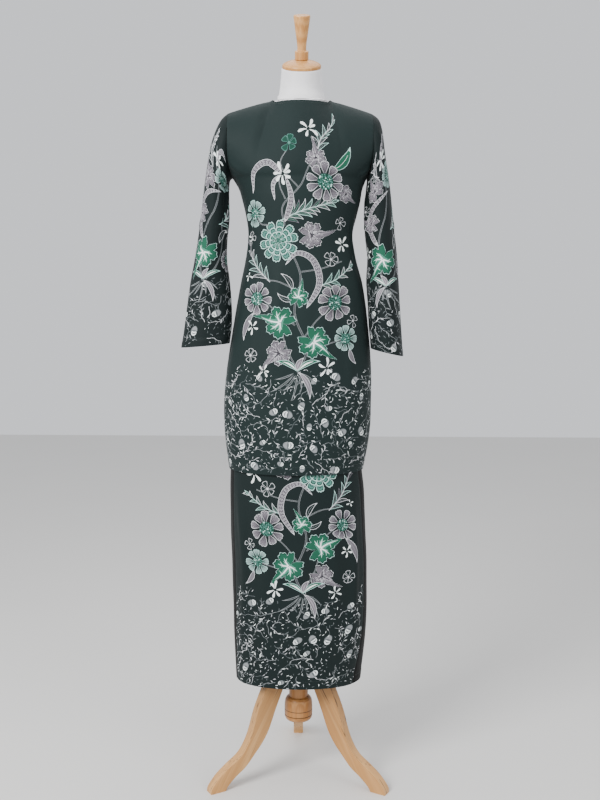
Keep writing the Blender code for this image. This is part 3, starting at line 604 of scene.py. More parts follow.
        rim = [(1.02 * cos(a), 0.76 * sin(a) + 0.10 * cos(2 * a)) for a in np.arange(12) * pi / 6]
        shade = [(-0.10, -0.66), (-0.60, -0.50), (-0.98, 0.0), (-0.60, 0.54), (-0.10, 0.70), (-0.22, 0.0)]
        self.fill(turned(rim), DIM)
        self.fill(turned(shade), ASH)
        for reach, tall, wide in ((0.84, 0.62, 0.30), (0.30, 0.54, 0.27)):
            path = [(reach * cos(a), tall * sin(a)) for a in np.radians((-72, -44, -15, 15, 44, 72))]
            self.stroke(turned(path), np.array([0.35, 1.0, 0.9, 0.3]) * wide * size, WHITE)

    def blades(self, foot, spread):
        """The foot of a plant: two broad blades, thin leaves between them and fine roots below."""
        thin = ((-34, 1.1), (-56, 1.5), (-76, 0.9), (-100, 1.4), (-124, 1.1), (-142, 1.6), (-160, 1.1))
        for degrees, length in thin:
            ends = [step(foot, far * spread, radians(degrees)) for far in (0.10, length)]
            self.leaf(ends, spread * 0.088, ASH, GROUND, 0.07, GROUND)
        for degrees, length in ((24, 1.15), (156, 1.1), (-64, 1.45), (66, 0.7)):
            edge, fill, vein, shine = GREEN_BLADE if degrees in (24, 156) else LILAC_BLADE
            ends = (foot, step(foot, spread * length, radians(degrees)))
            bend = 0.14 if degrees < 90 else -0.14
            self.leaf(ends, spread * 0.25, edge, fill, bend, vein)
            self.stroke(bow(*ends, bend)[1:7], np.array([0.3, 1.0, 0.8, 0.0]) * spread * 0.085, shine)

    def vines(self, left, right, low, high, tones):
        """A field of wavy twigs with slim leaves, striped buds and loose leaves, thinning out at its top."""
        uniform, choice, taken = self.uniform, self.choice, []

        def top(x):
            return high + 0.016 * (sin(37 * x) + 0.7 * sin(83 * x + 1.0)) + 0.14 * max(0, abs(x) - 0.12)

        def free(x, z, room):
            inside = left < x < right and low < z < top(x)
            return inside and all((x - a) ** 2 + (z - b) ** 2 > (room + r) ** 2 for a, b, r in taken)

        def leaflet(foot, way, length, colour):
            widths = np.array([0.1, 0.8, 1.0, 0.7, 0.0]) * length * uniform(0.17, 0.25)
            self.stroke(bow(foot, step(foot, length, way), uniform(-0.15, 0.15), 5), widths, colour)
            taken.extend((*step(foot, share * length, way), 0.15 * length) for share in (0.3, 0.75))

        area = (right - left) * (high - low)
        for _ in range(int(area * 460)):
            x, z, size = uniform(left, right), uniform(low, high + 0.02), uniform(0.0078, 0.0130)
            if free(x, z, size + 0.012):
                self.bud(x, z, size, uniform(0, 2 * pi))
                taken.append((x, z, 0.9 * size))
        for _ in range(int(area * 2400)):
            x, z, heading = uniform(left, right), uniform(low, high), uniform(0, 2 * pi)
            points, bend = [], uniform(-0.16, 0.16)
            for i in range(self.random.randint(10, 28)):
                if not free(x, z, 0.0016):
                    break
                points.append((x, z))
                heading += bend + 0.34 * (-1) ** (i // 2) + uniform(-0.14, 0.14)
                x, z = x + 0.0062 * cos(heading), z + 0.0062 * sin(heading)
            if len(points) < 5:
                continue
            self.stroke(points, [0.0011, 0.0009, 0.0005], choice((DIM, ASH, ASH, SILVER)))
            for (x0, z0), (x, z) in zip(points, points[1:]):
                for sign in (-1, 1):
                    if self.random.random() < 0.42:
                        way = np.arctan2(z - z0, x - x0) + sign * uniform(0.55, 0.95)
                        leaflet(step((x, z), 0.001, way), way, uniform(0.0062, 0.0112), choice(tones))
            taken.extend((a, b, 0.0022) for a, b in points)
        for _ in range(int(area * 9000)):
            x, z = uniform(left, right), uniform(low, high + 0.03)
            length = uniform(0.0042, 0.0088)
            if free(x, z, 0.40 * length):
                way = uniform(0, 2 * pi)
                leaflet(step((x, z), -0.5 * length, way), way, length, choice(tones))

    def plant(self, plan, x, z=0.0, size=1.0, mirror=1.0):
        """A plan's motifs, laid out from a place. Turns in whole degrees are mirrored too, those in radians not."""

        def at(place):
            return np.array([x + mirror * size * (place[0] / 1000), z + size * (place[1] / 1000)])

        for motif, widths, where, *rest in ((motif, *entry) for motif, *entries in plan for entry in entries):
            widths = np.atleast_1d(widths) / 1e4 * size
            if motif == "leaf":
                edge, fill, bend, *vein = rest
                where, rest = [at(place) for place in where], [edge, fill, bend * mirror, *vein]
            elif motif in ("stem", "spray", "crescent"):
                if isinstance(where[2], float):
                    where = bow(at(where[0]), at(where[1]), where[2] * mirror, where[3])
                else:
                    where = curve_points([at(place) for place in where], 7)
            else:
                where = at(where)
                if rest and isinstance(rest[0], int):
                    rest[0] = radians(rest[0] if mirror > 0 else 180 - rest[0])
            getattr(self, motif)(where, *widths, *rest)


# Plans: a motif and where it is drawn. An entry has its size or its length and width in tenths of a millimetre, its
# place or the places along it in millimetres (or two places, a bend and a count of points), its turn, and what else
# the motif takes.
PLANT = (
    ("stem", (52, ((0, 0), (-20, 55), (12, 140), (-2, 225), (26, 300))), (34, ((-12, 80), (-40, 120), (-72, 150))),
        (34, ((10, 110), (52, 140), (92, 170))), (34, ((-18, 45), (-60, 62), (-104, 75))),
        (34, ((4, 190), (50, 212), (82, 216))), (34, ((-4, 236), (-52, 244), (-108, 262))),
        (34, ((4, 10), (30, 60), (44, 110)))),
    ("spray", ((340, 86), ((74, 212), (108, 246), (136, 296)), 5, (SILVER, MINT_PALE, LILAC), GROUND),
        ((300, 84), ((-48, 204), (-88, 218), (-128, 246)), 4, (MINT_PALE, SILVER), EMERALD_DARK)),
    ("crescent", (190, ((-16, 150), (-46, 208), (-34, 262), (4, 280), (34, 252)))),
    ("lobed", (370, (46, 44), -38), (380, (-30, 322), 176)),
    ("leaf", (130, ((18, 190), (46, 232)), SILVER, GROUND, 0.16),
        (120, ((12, 170), (54, 186)), SILVER, GROUND, -0.16), (160, ((112, 140), (142, 70)), SILVER, LILAC, 0.12),
        (130, ((-128, 56), (-150, 16)), SILVER, LILAC, 0.12)),
    ("palm", (470, (-36, 70), 222), (470, (46, 116), 18), (300, (4, 176), 108)),
    ("flower", (440, (-86, 164), 10, 9, *LILACS), (380, (108, 172), 25, 9, *LILACS),
        (310, (-116, 78), 4, 8, *GREYS)),
    ("double_flower", (500, (50, 308), 26)),
    ("star", (230, (-70, 8), 20, 6), (190, (116, 104), 48, 5), (240, (-112, 302), 8, 6), (170, (82, 0), 35, 5),
        (120, (134, 226), 10, 4)),
    ("loops", (190, (118, 36), 15, 5), (200, (-78, 266), 40, 5), (160, (-136, 120), 70, 4),
        (170, (128, 320), 20, 4)),
    ("blades", (520, (0, 0))),
)
SPRIG = (
    ("stem", (36, ((34, 345), (40, 390), (-6, 440), (-34, 500), (-62, 550))),
        (30, ((34, 405), (46, 440), (38, 484))), (30, ((0, 430), (40, 484), (26, 522))),
        (30, ((74, 346), (98, 350), (112, 372)))),
    ("spray", ((400, 94), ((44, 356), (-4, 378), (-74, 398)), 7, (MINT_PALE, SILVER, SILVER, LILAC), EMERALD_DARK),
        ((300, 86), ((-44, 512), (-54, 548), (-86, 584)), 5, (SILVER, MINT_PALE), GROUND)),
    ("crescent", (175, ((34, 352), (20, 406), (30, 460))), (185, ((38, 464), (72, 492), (106, 472), (120, 420))),
        (120, ((44, 460), (62, 438), (60, 402)))),
    ("lobed", (300, (-42, 500), 84), (260, (-116, 420), 214)),
    ("leaf", (220, ((-80, 474), (-128, 526)), MINT_PALE, EMERALD, 0.14, WHITE)),
    ("flower", (460, (-64, 446), 18, 10, *LILACS), (320, (118, 374), 30, 8, *GREYS)),
    ("loops", (220, (22, 536), 30, 5, MINT, EMERALD_DARK), (170, (-104, 352), 10, 4)),
    ("star", (270, (36, 464), 12, 7), (250, (-22, 570), 40, 6), (140, (136, 318), 30, 4)),
)
SLEEVE_PLANT = (
    ("stem", (50, ((-4, 160), (6, 330), 0.12, 14)), (40, ((2, 165), (30, 300), -0.16, 14)),
        (38, ((6, 330), (-10, 480), -0.12, 14))),
    ("blades", (420, (-4, 164))),
    ("spray", ((280, 80), ((22, 300), (62, 352), -0.14, 12), 4, (MINT_PALE, SILVER), GROUND),
        ((280, 80), ((-6, 432), (-28, 486), 0.14, 12), 4, (SILVER,), GROUND)),
    ("crescent", (220, ((-18, 262), (26, 388), 0.36, 22))),
    ("lobed", (300, (-34, 322), 160)),
    ("palm", (460, (-10, 230), -120)),
    ("leaf", (140, ((30, 252), (52, 290)), SILVER, GROUND, 0.14)),
    ("flower", (310, (70, 212), 0.3, 9, *LILACS)),
    ("lobed", (340, (-20, 404), 120)),
    ("flower", (300, (34, 422), 0.1, 9, *GREYS)),
    ("crescent", (150, ((8, 450), (52, 500), 0.30, 14))),
    ("star", (230, (10, 462), 0.2, 6), (170, (66, 284), 0.9, 5), (180, (-64, 250), 0.4, 5),
        (170, (-58, 446), 0.0, 5)),
    ("loops", (160, (-66, 196), 0.5, 4), (170, (-58, 362), 0.2, 5)),
)


def drawn(seed, field, tones, *plants):
    """A panel's print: a field of twigs at its hem, and plants above it."""
    drawing = Drawing(seed)
    drawing.vines(*field, tones)
    for plant in plants:
        drawing.plant(*plant)
    return drawing


def tunic_drawing(seed, mirror):
    plant = (PLANT + SPRIG, 0.004 * mirror, 1.054, 1.0, mirror)
    return drawn(seed, (-0.246, 0.246, HEM + 0.001, 1.046), VINE_TONES, plant)


def skirt_drawing(seed):
    return drawn(seed, (-0.186, 0.186, SKIRT_HEM + 0.001, 0.492), VINE_TONES, (PLANT, 0.006, 0.506, 0.98))


def sleeve_drawing(seed, way):
    plants = [(SLEEVE_PLANT, across, 0.0, 1.0, mirror) for across, mirror in ((0.006, way), (-0.160, -way))]
    return drawn(seed, (-0.240, 0.110, 0.001, 0.158), CUFF_TONES, *plants)


# ---------------------------------------------------------------- cloth panels

SAMPLES = 81  # rows and columns of the table that lays a panel flat
SEAM_DIP, SEAM_REACH = 0.0007, 0.0032  # how deep and how far a seam draws the cloth in
HEM_BAND, HEM_RISE = 0.021, 0.0004  # width and thickness of a turned hem
LARGEST_SHAPE = 0.02  # no shape of the print covers this many square metres, unless its outline is crossed and spills

# Creases, in flat places: across and up at one end and at the other in millimetres, bow in hundredths, half width
# and height in tenths of a millimetre.
CREASE_UNITS = [1e3] * 4 + [1e2, 1e4, 1e4]
CREASES = {
    "tunic_front": (
        (212, 1606, 120, 1505, 10, 70, -16), (205, 1588, 135, 1500, 10, 80, 26),
        (-205, 1600, -135, 1520, -10, 80, 20), (-200, 1560, -125, 1500, -8, 75, -12),
        (-160, 1470, -168, 1315, 6, 85, 36), (-142, 1440, -150, 1330, 5, 60, -14),
        (156, 1450, 172, 1290, -6, 85, 34), (138, 1420, 152, 1310, -5, 60, -14),
        (-150, 1372, -60, 1392, 10, 65, 18), (148, 1362, 60, 1380, -10, 65, 18),
        (-78, 1690, -135, 1585, 10, 110, 9), (78, 1690, 130, 1590, -10, 110, 9),
        (-60, 1330, -72, 1010, 2, 140, 28), (52, 1340, 66, 1000, -2, 150, 26),
        (-118, 1250, -140, 900, 3, 150, 30), (128, 1240, 150, 880, -3, 140, 30), (8, 1250, 0, 920, 2, 180, 16),
    ),
    "tunic_back": (
        (-200, 1590, -110, 1520, -8, 80, 24), (200, 1592, 118, 1512, 8, 80, 22),
        (-50, 1660, -105, 1560, 8, 90, 14), (55, 1662, 100, 1570, -8, 90, 14),
        (-140, 1400, -30, 1372, 10, 85, 30), (135, 1386, 25, 1366, -12, 80, 26),
        (-125, 1350, -35, 1338, 10, 70, 22), (120, 1334, 45, 1330, -10, 70, 20),
        (-100, 1280, -120, 920, 3, 150, 32), (98, 1270, 124, 900, -3, 150, 30),
        (-20, 1270, -34, 960, 3, 160, 26), (40, 1250, 44, 950, -2, 150, 24),
    ),
    "sleeve_right": (
        (82, 455, 62, 235, -5, 80, 42), (64, 440, 47, 260, -5, 60, -26), (40, 500, 58, 360, 4, 80, 26),
        (-20, 545, -38, 400, 3, 100, 20), (88, 330, 18, 292, 12, 60, 26), (86, 300, 30, 262, 14, 55, 22),
        (-70, 312, -15, 282, -12, 60, 18), (5, 240, -6, 60, 3, 100, 24), (-120, 520, -140, 340, 5, 100, 26),
        (-160, 330, -105, 290, 10, 65, 24), (-150, 260, -130, 70, 3, 110, 28), (120, 420, 112, 200, 3, 90, 28),
    ),
    "sleeve_left": (
        (90, 462, 70, 240, -5, 85, 44), (70, 450, 53, 270, -5, 62, -28), (44, 510, 60, 370, 4, 80, 26),
        (-12, 550, -30, 410, 3, 100, 22), (94, 338, 22, 300, 12, 60, 26), (90, 300, 34, 270, 12, 55, 20),
        (-66, 322, -10, 296, -12, 60, 18), (10, 250, -4, 70, 3, 100, 24), (-120, 530, -136, 350, 5, 100, 26),
        (-155, 340, -100, 300, 10, 65, 24), (-145, 270, -126, 80, 3, 110, 28), (130, 430, 122, 210, 3, 90, 28),
    ),
    "skirt_front": (
        (-158, 775, -152, 330, 2, 105, 34), (-134, 765, -138, 380, 2, 70, -16),
        (156, 770, 146, 350, -2, 100, 32), (96, 740, 90, 300, -1, 150, 22), (-88, 750, -98, 290, 1, 150, 22),
        (4, 720, -6, 290, 1, 180, 16),
    ),
    "skirt_back": (
        (-200, 760, -190, 290, 2, 140, 36), (-90, 750, -100, 285, 2, 150, 34), (20, 740, 12, 300, 2, 150, 28),
        (120, 750, 112, 285, -2, 150, 34), (220, 740, 205, 300, -2, 130, 30),
    ),
}


def run_on(x, xs, ys):
    """Linear interpolation that runs on evenly past both ends."""
    i = np.clip(np.searchsorted(xs, x) - 1, 0, len(xs) - 2)
    return ys[i] + (ys[i + 1] - ys[i]) * (x - xs[i]) / (xs[i + 1] - xs[i])


def near(x, start, stop, reach=0.06):
    return (x > min(start, stop) - reach) & (x < max(start, stop) + reach)


class Panel:
    """A piece of the cut: its surface, its flat size, its creases and its sewn edges.

    s runs across it and v along it. Flat places are (across, up) in metres, counted from the panel's centre
    line and from the floor, or on a sleeve from its cuff.
    """

    def __init__(self, name, surface, across, along, centre, flip=1.0, seam_way=None, sewn_top=np.zeros_like):
        self.surface, self.across, self.along, self.flip = surface, across, along, flip
        self.seam_way, self.sewn_top = seam_way, sewn_top
        self.creases = metres(CREASES[name], CREASE_UNITS)
        self.s, self.v = (np.linspace(*ends, SAMPLES) for ends in (across, along))
        grid = surface(*np.meshgrid(self.s, self.v, indexing="ij"))
        steps = np.linalg.norm(np.diff(grid, axis=0), axis=-1)
        arcs = np.concatenate([np.zeros((1, SAMPLES)), np.cumsum(steps, axis=0)])
        self.arcs = arcs - sample(arcs, centre, self.s)
        line = surface(np.full(SAMPLES, centre), self.v)
        self.up = distances(line)[-1] - distances(line) if name.startswith("sleeve") else line[:, 2]
        self.rising = np.argsort(self.up)

    def to_surface(self, flat):
        """(s, v) of flat places. Both run on evenly beyond the panel's edges."""
        v = run_on(flat[:, 1], self.up[self.rising], self.v[self.rising])
        row = np.clip((v - self.v[0]) / (self.v[-1] - self.v[0]) * (SAMPLES - 1), 0, SAMPLES - 1.0001)
        low = row.astype(int)
        s = np.zeros(len(flat))
        for k in np.unique(low):
            here = low == k
            share = (row - low)[here]
            first, second = (run_on(flat[here, 0], self.arcs[:, j], self.s) for j in (k, k + 1))
            s[here] = first * (1 - share) + second * share
        return s, v

    def to_flat(self, s, v):
        """Flat places of (s, v), with their distances from both side edges and the upper edge."""
        places = ((x - ends[0]) / (ends[-1] - ends[0]) * (SAMPLES - 1.0) for x, ends in ((s, self.s), (v, self.v)))
        (i, a), (j, b) = ((low := np.clip(x.astype(int), 0, SAMPLES - 2), x - low) for x in places)

        def arc_at(k):
            return self.arcs[k, j] * (1 - b) + self.arcs[k, j + 1] * b

        x = arc_at(i) * (1 - a) + arc_at(i + 1) * a
        up = self.up[j] * (1 - b) + self.up[j + 1] * b
        return x, up, np.minimum(x - arc_at(0), arc_at(SAMPLES - 1) - x), np.max(self.up) - up

    def press(self, s, v):
        """How far the cloth stands off its surface: creases, seams, puckers and hems."""
        x, up, side, from_top = self.to_flat(s, v)
        top_seam = self.sewn_top(s)
        fade = ease(side / 0.016) * (1 - top_seam * (1 - ease(from_top / 0.02)))
        slow = np.sin(23 * x + 1.3) * np.sin(17 * up + 0.4) + 0.6 * np.sin(47 * x - 2.0 * up) * np.sin(31 * up)
        height = 0.00035 * slow * fade
        for x0, up0, x1, up1, bend, width, depth in self.creases:
            on = near(x, x0, x1) & near(up, up0, up1)
            if on.any():
                away, along = distance_to_arc(x[on], up[on], (x0, up0), (x1, up1), bend)
                height[on] += depth * bell(away, width) * ease(along / 0.3) * ease((1 - along) / 0.4) * fade[on]
        height -= SEAM_DIP * bell(np.minimum(side, np.where(top_seam > 0.5, from_top, 1.0)), SEAM_REACH)
        pucker = np.sin(up / 0.0023 + 2 * np.sin(31 * up)) * np.sin(up / 0.013 + 1.0)
        height += 0.0004 * pucker * bell(side, 0.010) * (1 - bell(side, 0.003))
        past_hem = up - min(self.up) - HEM_BAND
        return height + HEM_RISE * (1 - ease((past_hem + 0.001) / 0.002)) - 0.0004 * bell(past_hem + 0.002, 0.0012)

    def point(self, s, v, lift=0.0, in_seams=True, step=1e-4):
        """Points of the pressed cloth. At a sewn edge its wall stays in the plane of the seam."""
        at = self.surface(s, v)
        way = unit(self.flip * np.cross(self.surface(s + step, v) - at, self.surface(s, v + step) - at))
        if in_seams and self.seam_way:
            way = unit(way * self.seam_way(s, v))
        return at + (self.press(s, v) + lift)[..., None] * way

    def normal(self, s, v, step=8e-4):
        """The unit normal of the pressed cloth."""
        at, on_s, on_v = (self.point(s + a, v + b, in_seams=False) for a, b in ((0, 0), (step, 0), (0, step)))
        return unit(self.flip * np.cross(on_s - at, on_v - at))

    def lines(self, count, ends, extra):
        """Grid lines from end to end, closer where something small is sewn."""
        span = ends[1] - ends[0]
        whole = np.concatenate([np.linspace(*ends, count + 1), ends[0] + span * np.array(extra)])
        whole = np.unique(np.round(whole, 6))
        return whole[np.concatenate([[True], np.diff(whole) > abs(span) * 2e-4])]


def distance_to_arc(x, up, start, stop, bend, pieces=7):
    """Distance of each place from a bowed line, and how far along it the nearest point is, from 0 to 1."""
    path = bow(start, stop, bend, pieces + 1)
    best, along = np.full_like(x, 9.0), np.zeros_like(x)
    for k in range(pieces):
        step = path[k + 1] - path[k]
        share = ((x - path[k, 0]) * step[0] + (up - path[k, 1]) * step[1]) / (step @ step)
        share = np.clip(share, 0.0 if k else -9.0, 1.0 if k < pieces - 1 else 9.0)
        away = np.hypot(x - path[k, 0] - step[0] * share, up - path[k, 1] - step[1] * share)
        along = np.where(away < best, (k + share) / pieces, along)
        best = np.minimum(away, best)
    return best, along


def rim_faces(outer, inner, outer_at, inner_at):
    """Triangles between two rows of vertices that start and end together."""
    i, k, faces = 0, 0, []
    while i < len(outer) - 1 or k < len(inner) - 1:
        if k == len(inner) - 1 or (i < len(outer) - 1 and outer_at[i + 1] <= inner_at[k + 1]):
            faces.append((outer[i], outer[i + 1], inner[k]))
            i += 1
        else:
            faces.append((outer[i], inner[k + 1], inner[k]))
            k += 1
    return faces


def add_object(name, data):
    made = bpy.data.objects.new(name, data)
    bpy.context.scene.collection.objects.link(made)
    return made


def print_skin(panel, drawing, s_lines, v_lines, scale, hem_first):
    """The outer skin, cut along the outlines of its print: its (s, v) places, its triangles and each one's shape."""
    low, high = zip(panel.across, panel.along)
    grid = np.stack(np.meshgrid(s_lines, v_lines, indexing="ij"), -1)
    ids = np.arange(grid[..., 0].size).reshape(grid.shape[:2])
    loop = np.concatenate([ids[:-1, 0], ids[-1, :-1], ids[:0:-1, -1], ids[0, :0:-1]]).tolist()
    points, faces, start = [grid.reshape(-1, 2) * scale], [], ids.size
    for outline, _ in drawing.shapes:
        points.append(np.stack(panel.to_surface(outline if hem_first else outline[::-1]), 1) * scale)
        faces.append(list(range(start, start + len(outline))))
        start += len(outline)
    flat = [Vector(p) for p in np.concatenate(points)]
    made, _, tris, _, _, origins = delaunay_2d_cdt(flat, list(zip(loop, loop[1:] + loop[:1])), faces, 0, 1e-6, True)
    at, tris = np.array([tuple(p) for p in made]) / scale, np.array(tris)
    first, second, third = np.moveaxis(at[tris] * scale, 1, 0)
    covers = np.zeros(len(faces))
    for size, owners in zip(np.abs(np.cross(second - first, third - first)) / 2, origins):
        covers[owners] += size
    spilled = set(np.nonzero(covers > LARGEST_SHAPE)[0].tolist())
    middle = at[tris].mean(axis=1)
    inside = ((middle > low) & (middle < high)).all(axis=1)
    shapes = np.array([max((k for k in owners if k not in spilled), default=-1) for owners in origins])[inside]
    used, tris = np.unique(tris[inside], return_inverse=True)
    return np.clip(at[used], low, high), tris.reshape(-1, 3), shapes


def cloth_piece(name, panel, drawing, ground_and_painted_shade, columns, rows):
    """A closed wall of cloth: a printed outer skin and a plain inner one."""
    (s0, s1), (v0, v1) = panel.across, panel.along
    wide, tall = np.ptp(panel.arcs[:, SAMPLES // 2]), np.ptp(panel.up)
    edge = [0.004 / wide, 0.009 / wide, 1 - 0.009 / wide, 1 - 0.004 / wide]
    band = np.array([0.017, 0.019, 0.020, 0.0215, 0.024]) / tall
    hem_first = panel.up[0] < panel.up[-1]
    s_lines = panel.lines(columns, panel.across, edge)
    v_lines = panel.lines(rows, panel.along, [*(band if hem_first else 1 - band), 0.004 / tall, 1 - 0.004 / tall])
    scale = np.array([wide / (s1 - s0), tall / (v1 - v0)])
    at, tris, shapes = print_skin(panel, drawing, s_lines, v_lines, scale, hem_first)
    s, v = at.T
    inner_s = s_lines[:: 2 if len(s_lines) % 2 else 1]
    t, w = (part.ravel() for part in np.meshgrid(inner_s, v_lines, indexing="ij"))
    ids = len(s) + np.arange(len(t)).reshape(len(inner_s), len(v_lines))
    quads = np.stack([ids[:-1, :-1], ids[:-1, 1:], ids[1:, 1:], ids[1:, :-1]], -1).reshape(-1, 4)
    rims = []
    for axis, end, first, flip in ((1, v0, True, -1), (0, s1, False, -1), (1, v1, False, 1), (0, s0, True, 1)):
        on = np.nonzero(np.abs(at[:, axis] - end) < 1e-7)[0]
        on = on[np.argsort(at[on, 1 - axis])]
        line = np.moveaxis(ids, axis, 0)[0 if first else -1]
        rim = rim_faces(list(on), list(line), at[on, 1 - axis], inner_s if axis else v_lines)
        rims += [face[::flip] for face in rim]
    faces = [tuple(int(i) for i in face[:: int(panel.flip)]) for part in (tris, quads, rims) for face in part]
    mesh = bpy.data.meshes.new(name)
    points = np.concatenate([panel.point(s, v), panel.point(t, w, -CLOTH)])
    mesh.from_pydata(points + AXIS, [], faces)
    mesh.shade_smooth()
    corner = np.zeros(len(mesh.loops), dtype=np.int32)
    mesh.loops.foreach_get("vertex_index", corner)
    flat_normals = np.zeros((len(mesh.polygons), 3))
    mesh.polygon_normals.foreach_get("vector", flat_normals.ravel())
    normals = np.concatenate([panel.normal(s, v), -panel.normal(t, w)])[corner]
    normals[-3 * len(rims) :] = np.repeat(flat_normals[-len(rims) :], 3, axis=0)
    colours = np.array([ground_and_painted_shade] + [colour for _, colour in drawing.shapes])
    paint = np.ones((len(corner), 4))
    paint[:, :3] = ground_and_painted_shade
    paint[: 3 * len(tris), :3] = np.repeat(colours[shapes + 1], 3, axis=0)
    mesh.color_attributes.new("print", "FLOAT_COLOR", "CORNER").data.foreach_set("color", paint.ravel())
    x, up, _, _ = panel.to_flat(np.concatenate([s, t]), np.concatenate([v, w]))
    mesh.uv_layers.new(name="cut").uv.foreach_set("vector", np.stack([x, up], 1)[corner].ravel())
    mesh.normals_split_custom_set(normals)
    return add_object(name, mesh)


def tunic_seam_way(s, v):
    """The side and shoulder seams lie in the plane y = 0 and the armholes across x."""
    at_side = np.abs(s) > 0.999
    at_shoulder = (v > 1.999) & (np.abs(s) > NECK_SHARE - 0.001)
    return joined(~(at_side & (v > 1.001)), ~((at_side & (v < 1.001)) | at_shoulder), True)


def armhole_way(u, v):
    return joined(v > 0.001, True, True)


def shoulder_only(s):
    return (np.abs(s) > NECK_SHARE).astype(float)


SLEEVE_CENTRE = 0.2  # how far round a sleeve, from its top by its front, its flat places are counted from
UNDERARM = 0.4995
PANELS = {}
for side, flip in (("front", 1.0), ("back", -1.0)):
    tunic, skirt = "tunic_" + side, "skirt_" + side
    PANELS[tunic] = Panel(tunic, tunic_surface(flip), (-1, 1), (0, 2), 0.0, flip, tunic_seam_way, shoulder_only)
    PANELS[skirt] = Panel(skirt, skirt_surface(side), (0, 1), (0, 1), 0.5)
for side, flip in (("right", -1.0), ("left", 1.0)):
    name, round_it = "sleeve_" + side, (-UNDERARM, UNDERARM)
    PANELS[name] = Panel(
        name, sleeve_surface(side), round_it, (0, 1), SLEEVE_CENTRE, flip, armhole_way, np.ones_like
    )

# ---------------------------------------------------------------- node trees


class Signal:
    """An output of a node. Arithmetic on it adds Math nodes."""

    def __init__(self, tree, socket):
        self.tree, self.socket = tree, socket

    def math(self, operation, *others):
        return self.tree.node("ShaderNodeMath", {"operation": operation}, dict(enumerate((self, *others))))

    def __add__(self, other):
        return self.math("ADD", other)

    def __sub__(self, other):
        return self.math("SUBTRACT", other)

    def __rsub__(self, other):
        return self.tree.node("ShaderNodeMath", {"operation": "SUBTRACT"}, {0: other, 1: self})

    def __mul__(self, other):
        return self.math("MULTIPLY", other)

    __radd__, __rmul__ = __add__, __mul__

    def between(self, low, high):
        """From 0 at low to 1 at high, eased at both ends."""
        values = {"Value": self, "From Min": low, "From Max": high}
        return self.tree.node("ShaderNodeMapRange", {"interpolation_type": "SMOOTHSTEP"}, values)


class Tree:
    """A node tree. node() adds any node and returns one of its outputs as a Signal."""

    def __init__(self, tree):
        self.tree = tree

    def node(self, kind, settings=None, values=None, out=0):
        made = self.tree.nodes.new(kind)
        for key, value in (settings or {}).items():
            setattr(made, key, value)
        for key, value in (values or {}).items():
            named = (s for s in made.inputs if key in (s.identifier, s.name) and s.enabled)
            socket = made.inputs[key] if isinstance(key, int) else next(named)
            if isinstance(value, Signal):
                self.tree.links.new(value.socket, socket)
            else:
                socket.default_value = value
        return Signal(self, made.outputs[out]) if made.outputs else None

    def parts(self, vector):
        """The three numbers of a vector."""
        split = self.node("ShaderNodeSeparateXYZ", None, {0: vector}).socket.node
        return [Signal(self, output) for output in split.outputs]


# ---------------------------------------------------------------- materials


def toned(colour, share):
    return tuple(share * c for c in colour)


class Finish(Tree):
    """A material and its tree."""

    def __init__(self, name):
        self.material = bpy.data.materials.new(name)
        self.material.use_nodes = True
        super().__init__(self.material.node_tree)
        self.tree.nodes.clear()

    def place(self):
        return self.node("ShaderNodeTexCoord", None, None, 3)

    def attribute(self, name, out):
        return self.node("ShaderNodeAttribute", {"attribute_name": name}, None, out)

    def blend(self, factor, first, second, how="MIX"):
        """Two colours mixed. A colour is a Signal or three numbers."""
        first, second = (c if isinstance(c, Signal) else (*c, 1.0) for c in (first, second))
        values = {"Factor_Float": factor, "A_Color": first, "B_Color": second}
        return self.node("ShaderNodeMix", {"data_type": "RGBA", "blend_type": how}, values, 2)

    def stretched(self, place, scale):
        return self.node("ShaderNodeMapping", None, {"Vector": place, "Scale": scale})

    def noise(self, scale, detail=2.0, roughness=0.5, place=None):
        """Noise over the piece. A scale of three numbers stretches it."""
        place = place or self.place()
        if isinstance(scale, tuple):
            place, scale = self.stretched(place, scale), 1.0
        values = {"Vector": place, "Scale": scale, "Detail": detail, "Roughness": roughness}
        return self.node("ShaderNodeTexNoise", None, values)

    def relief(self, height, distance, strength=1.0, under=None):
        values = {"Height": height, "Distance": distance, "Strength": strength}
        return self.node("ShaderNodeBump", None, values | ({"Normal": under} if under else {}))

    def done(self, colour, roughness, normal=None, **constants):
        """The shader itself. constants are numbers and colours set on its sockets."""
        values = {"Base Color": colour, "Roughness": roughness, **({"Normal": normal} if normal else {})}
        for key, value in constants.items():
            values[key.replace("_", " ").title().replace("Ior", "IOR")] = value
        self.node("ShaderNodeOutputMaterial", None, {"Surface": self.node("ShaderNodeBsdfPrincipled", None, values)})
        return self.material


def cloth_finish(name, printed, pitch=0.0009, depth=0.00006):
    """A fine twill of the threads, over the slight unevenness of hung cloth."""
    finish = Finish(name)
    across, up, _ = finish.parts(finish.node("ShaderNodeUVMap", {"uv_map": "cut"}))
    turns = 2 * pi / pitch
    warp, weft = ((way * turns).math("SINE") for way in (across, up))
    threads = warp * weft * 0.5 + ((across + up) * (turns / 2)).math("SINE") * 0.35
    normal = finish.relief(threads, depth, 0.5, finish.relief(finish.noise(34.0, 2.0, 0.45), 0.0030, 0.35))
    worn = finish.noise(9.0, 3.0, 0.6)
    if printed:
        shade = 0.90 + 0.10 * threads.between(-0.8, 0.8) + 0.06 * worn - 0.05 * finish.noise(700.0, 1.0)
        tone = finish.node("ShaderNodeCombineColor", None, {0: shade, 1: shade, 2: shade})
        colour = finish.blend(1.0, finish.attribute("print", 0), tone, "MULTIPLY")
        roughness = 0.60 + 0.10 * worn - 0.05 * threads
    else:
        shade = (threads * 0.25 + worn * 0.8).between(0.0, 1.0)
        colour = finish.blend(shade, toned(PLAIN, 0.86), toned(PLAIN, 1.12))
        roughness = 0.62 + 0.10 * worn
    return finish.done(colour, roughness, normal, sheen_weight=0.04, sheen_roughness=0.45, specular_ior_level=0.12)


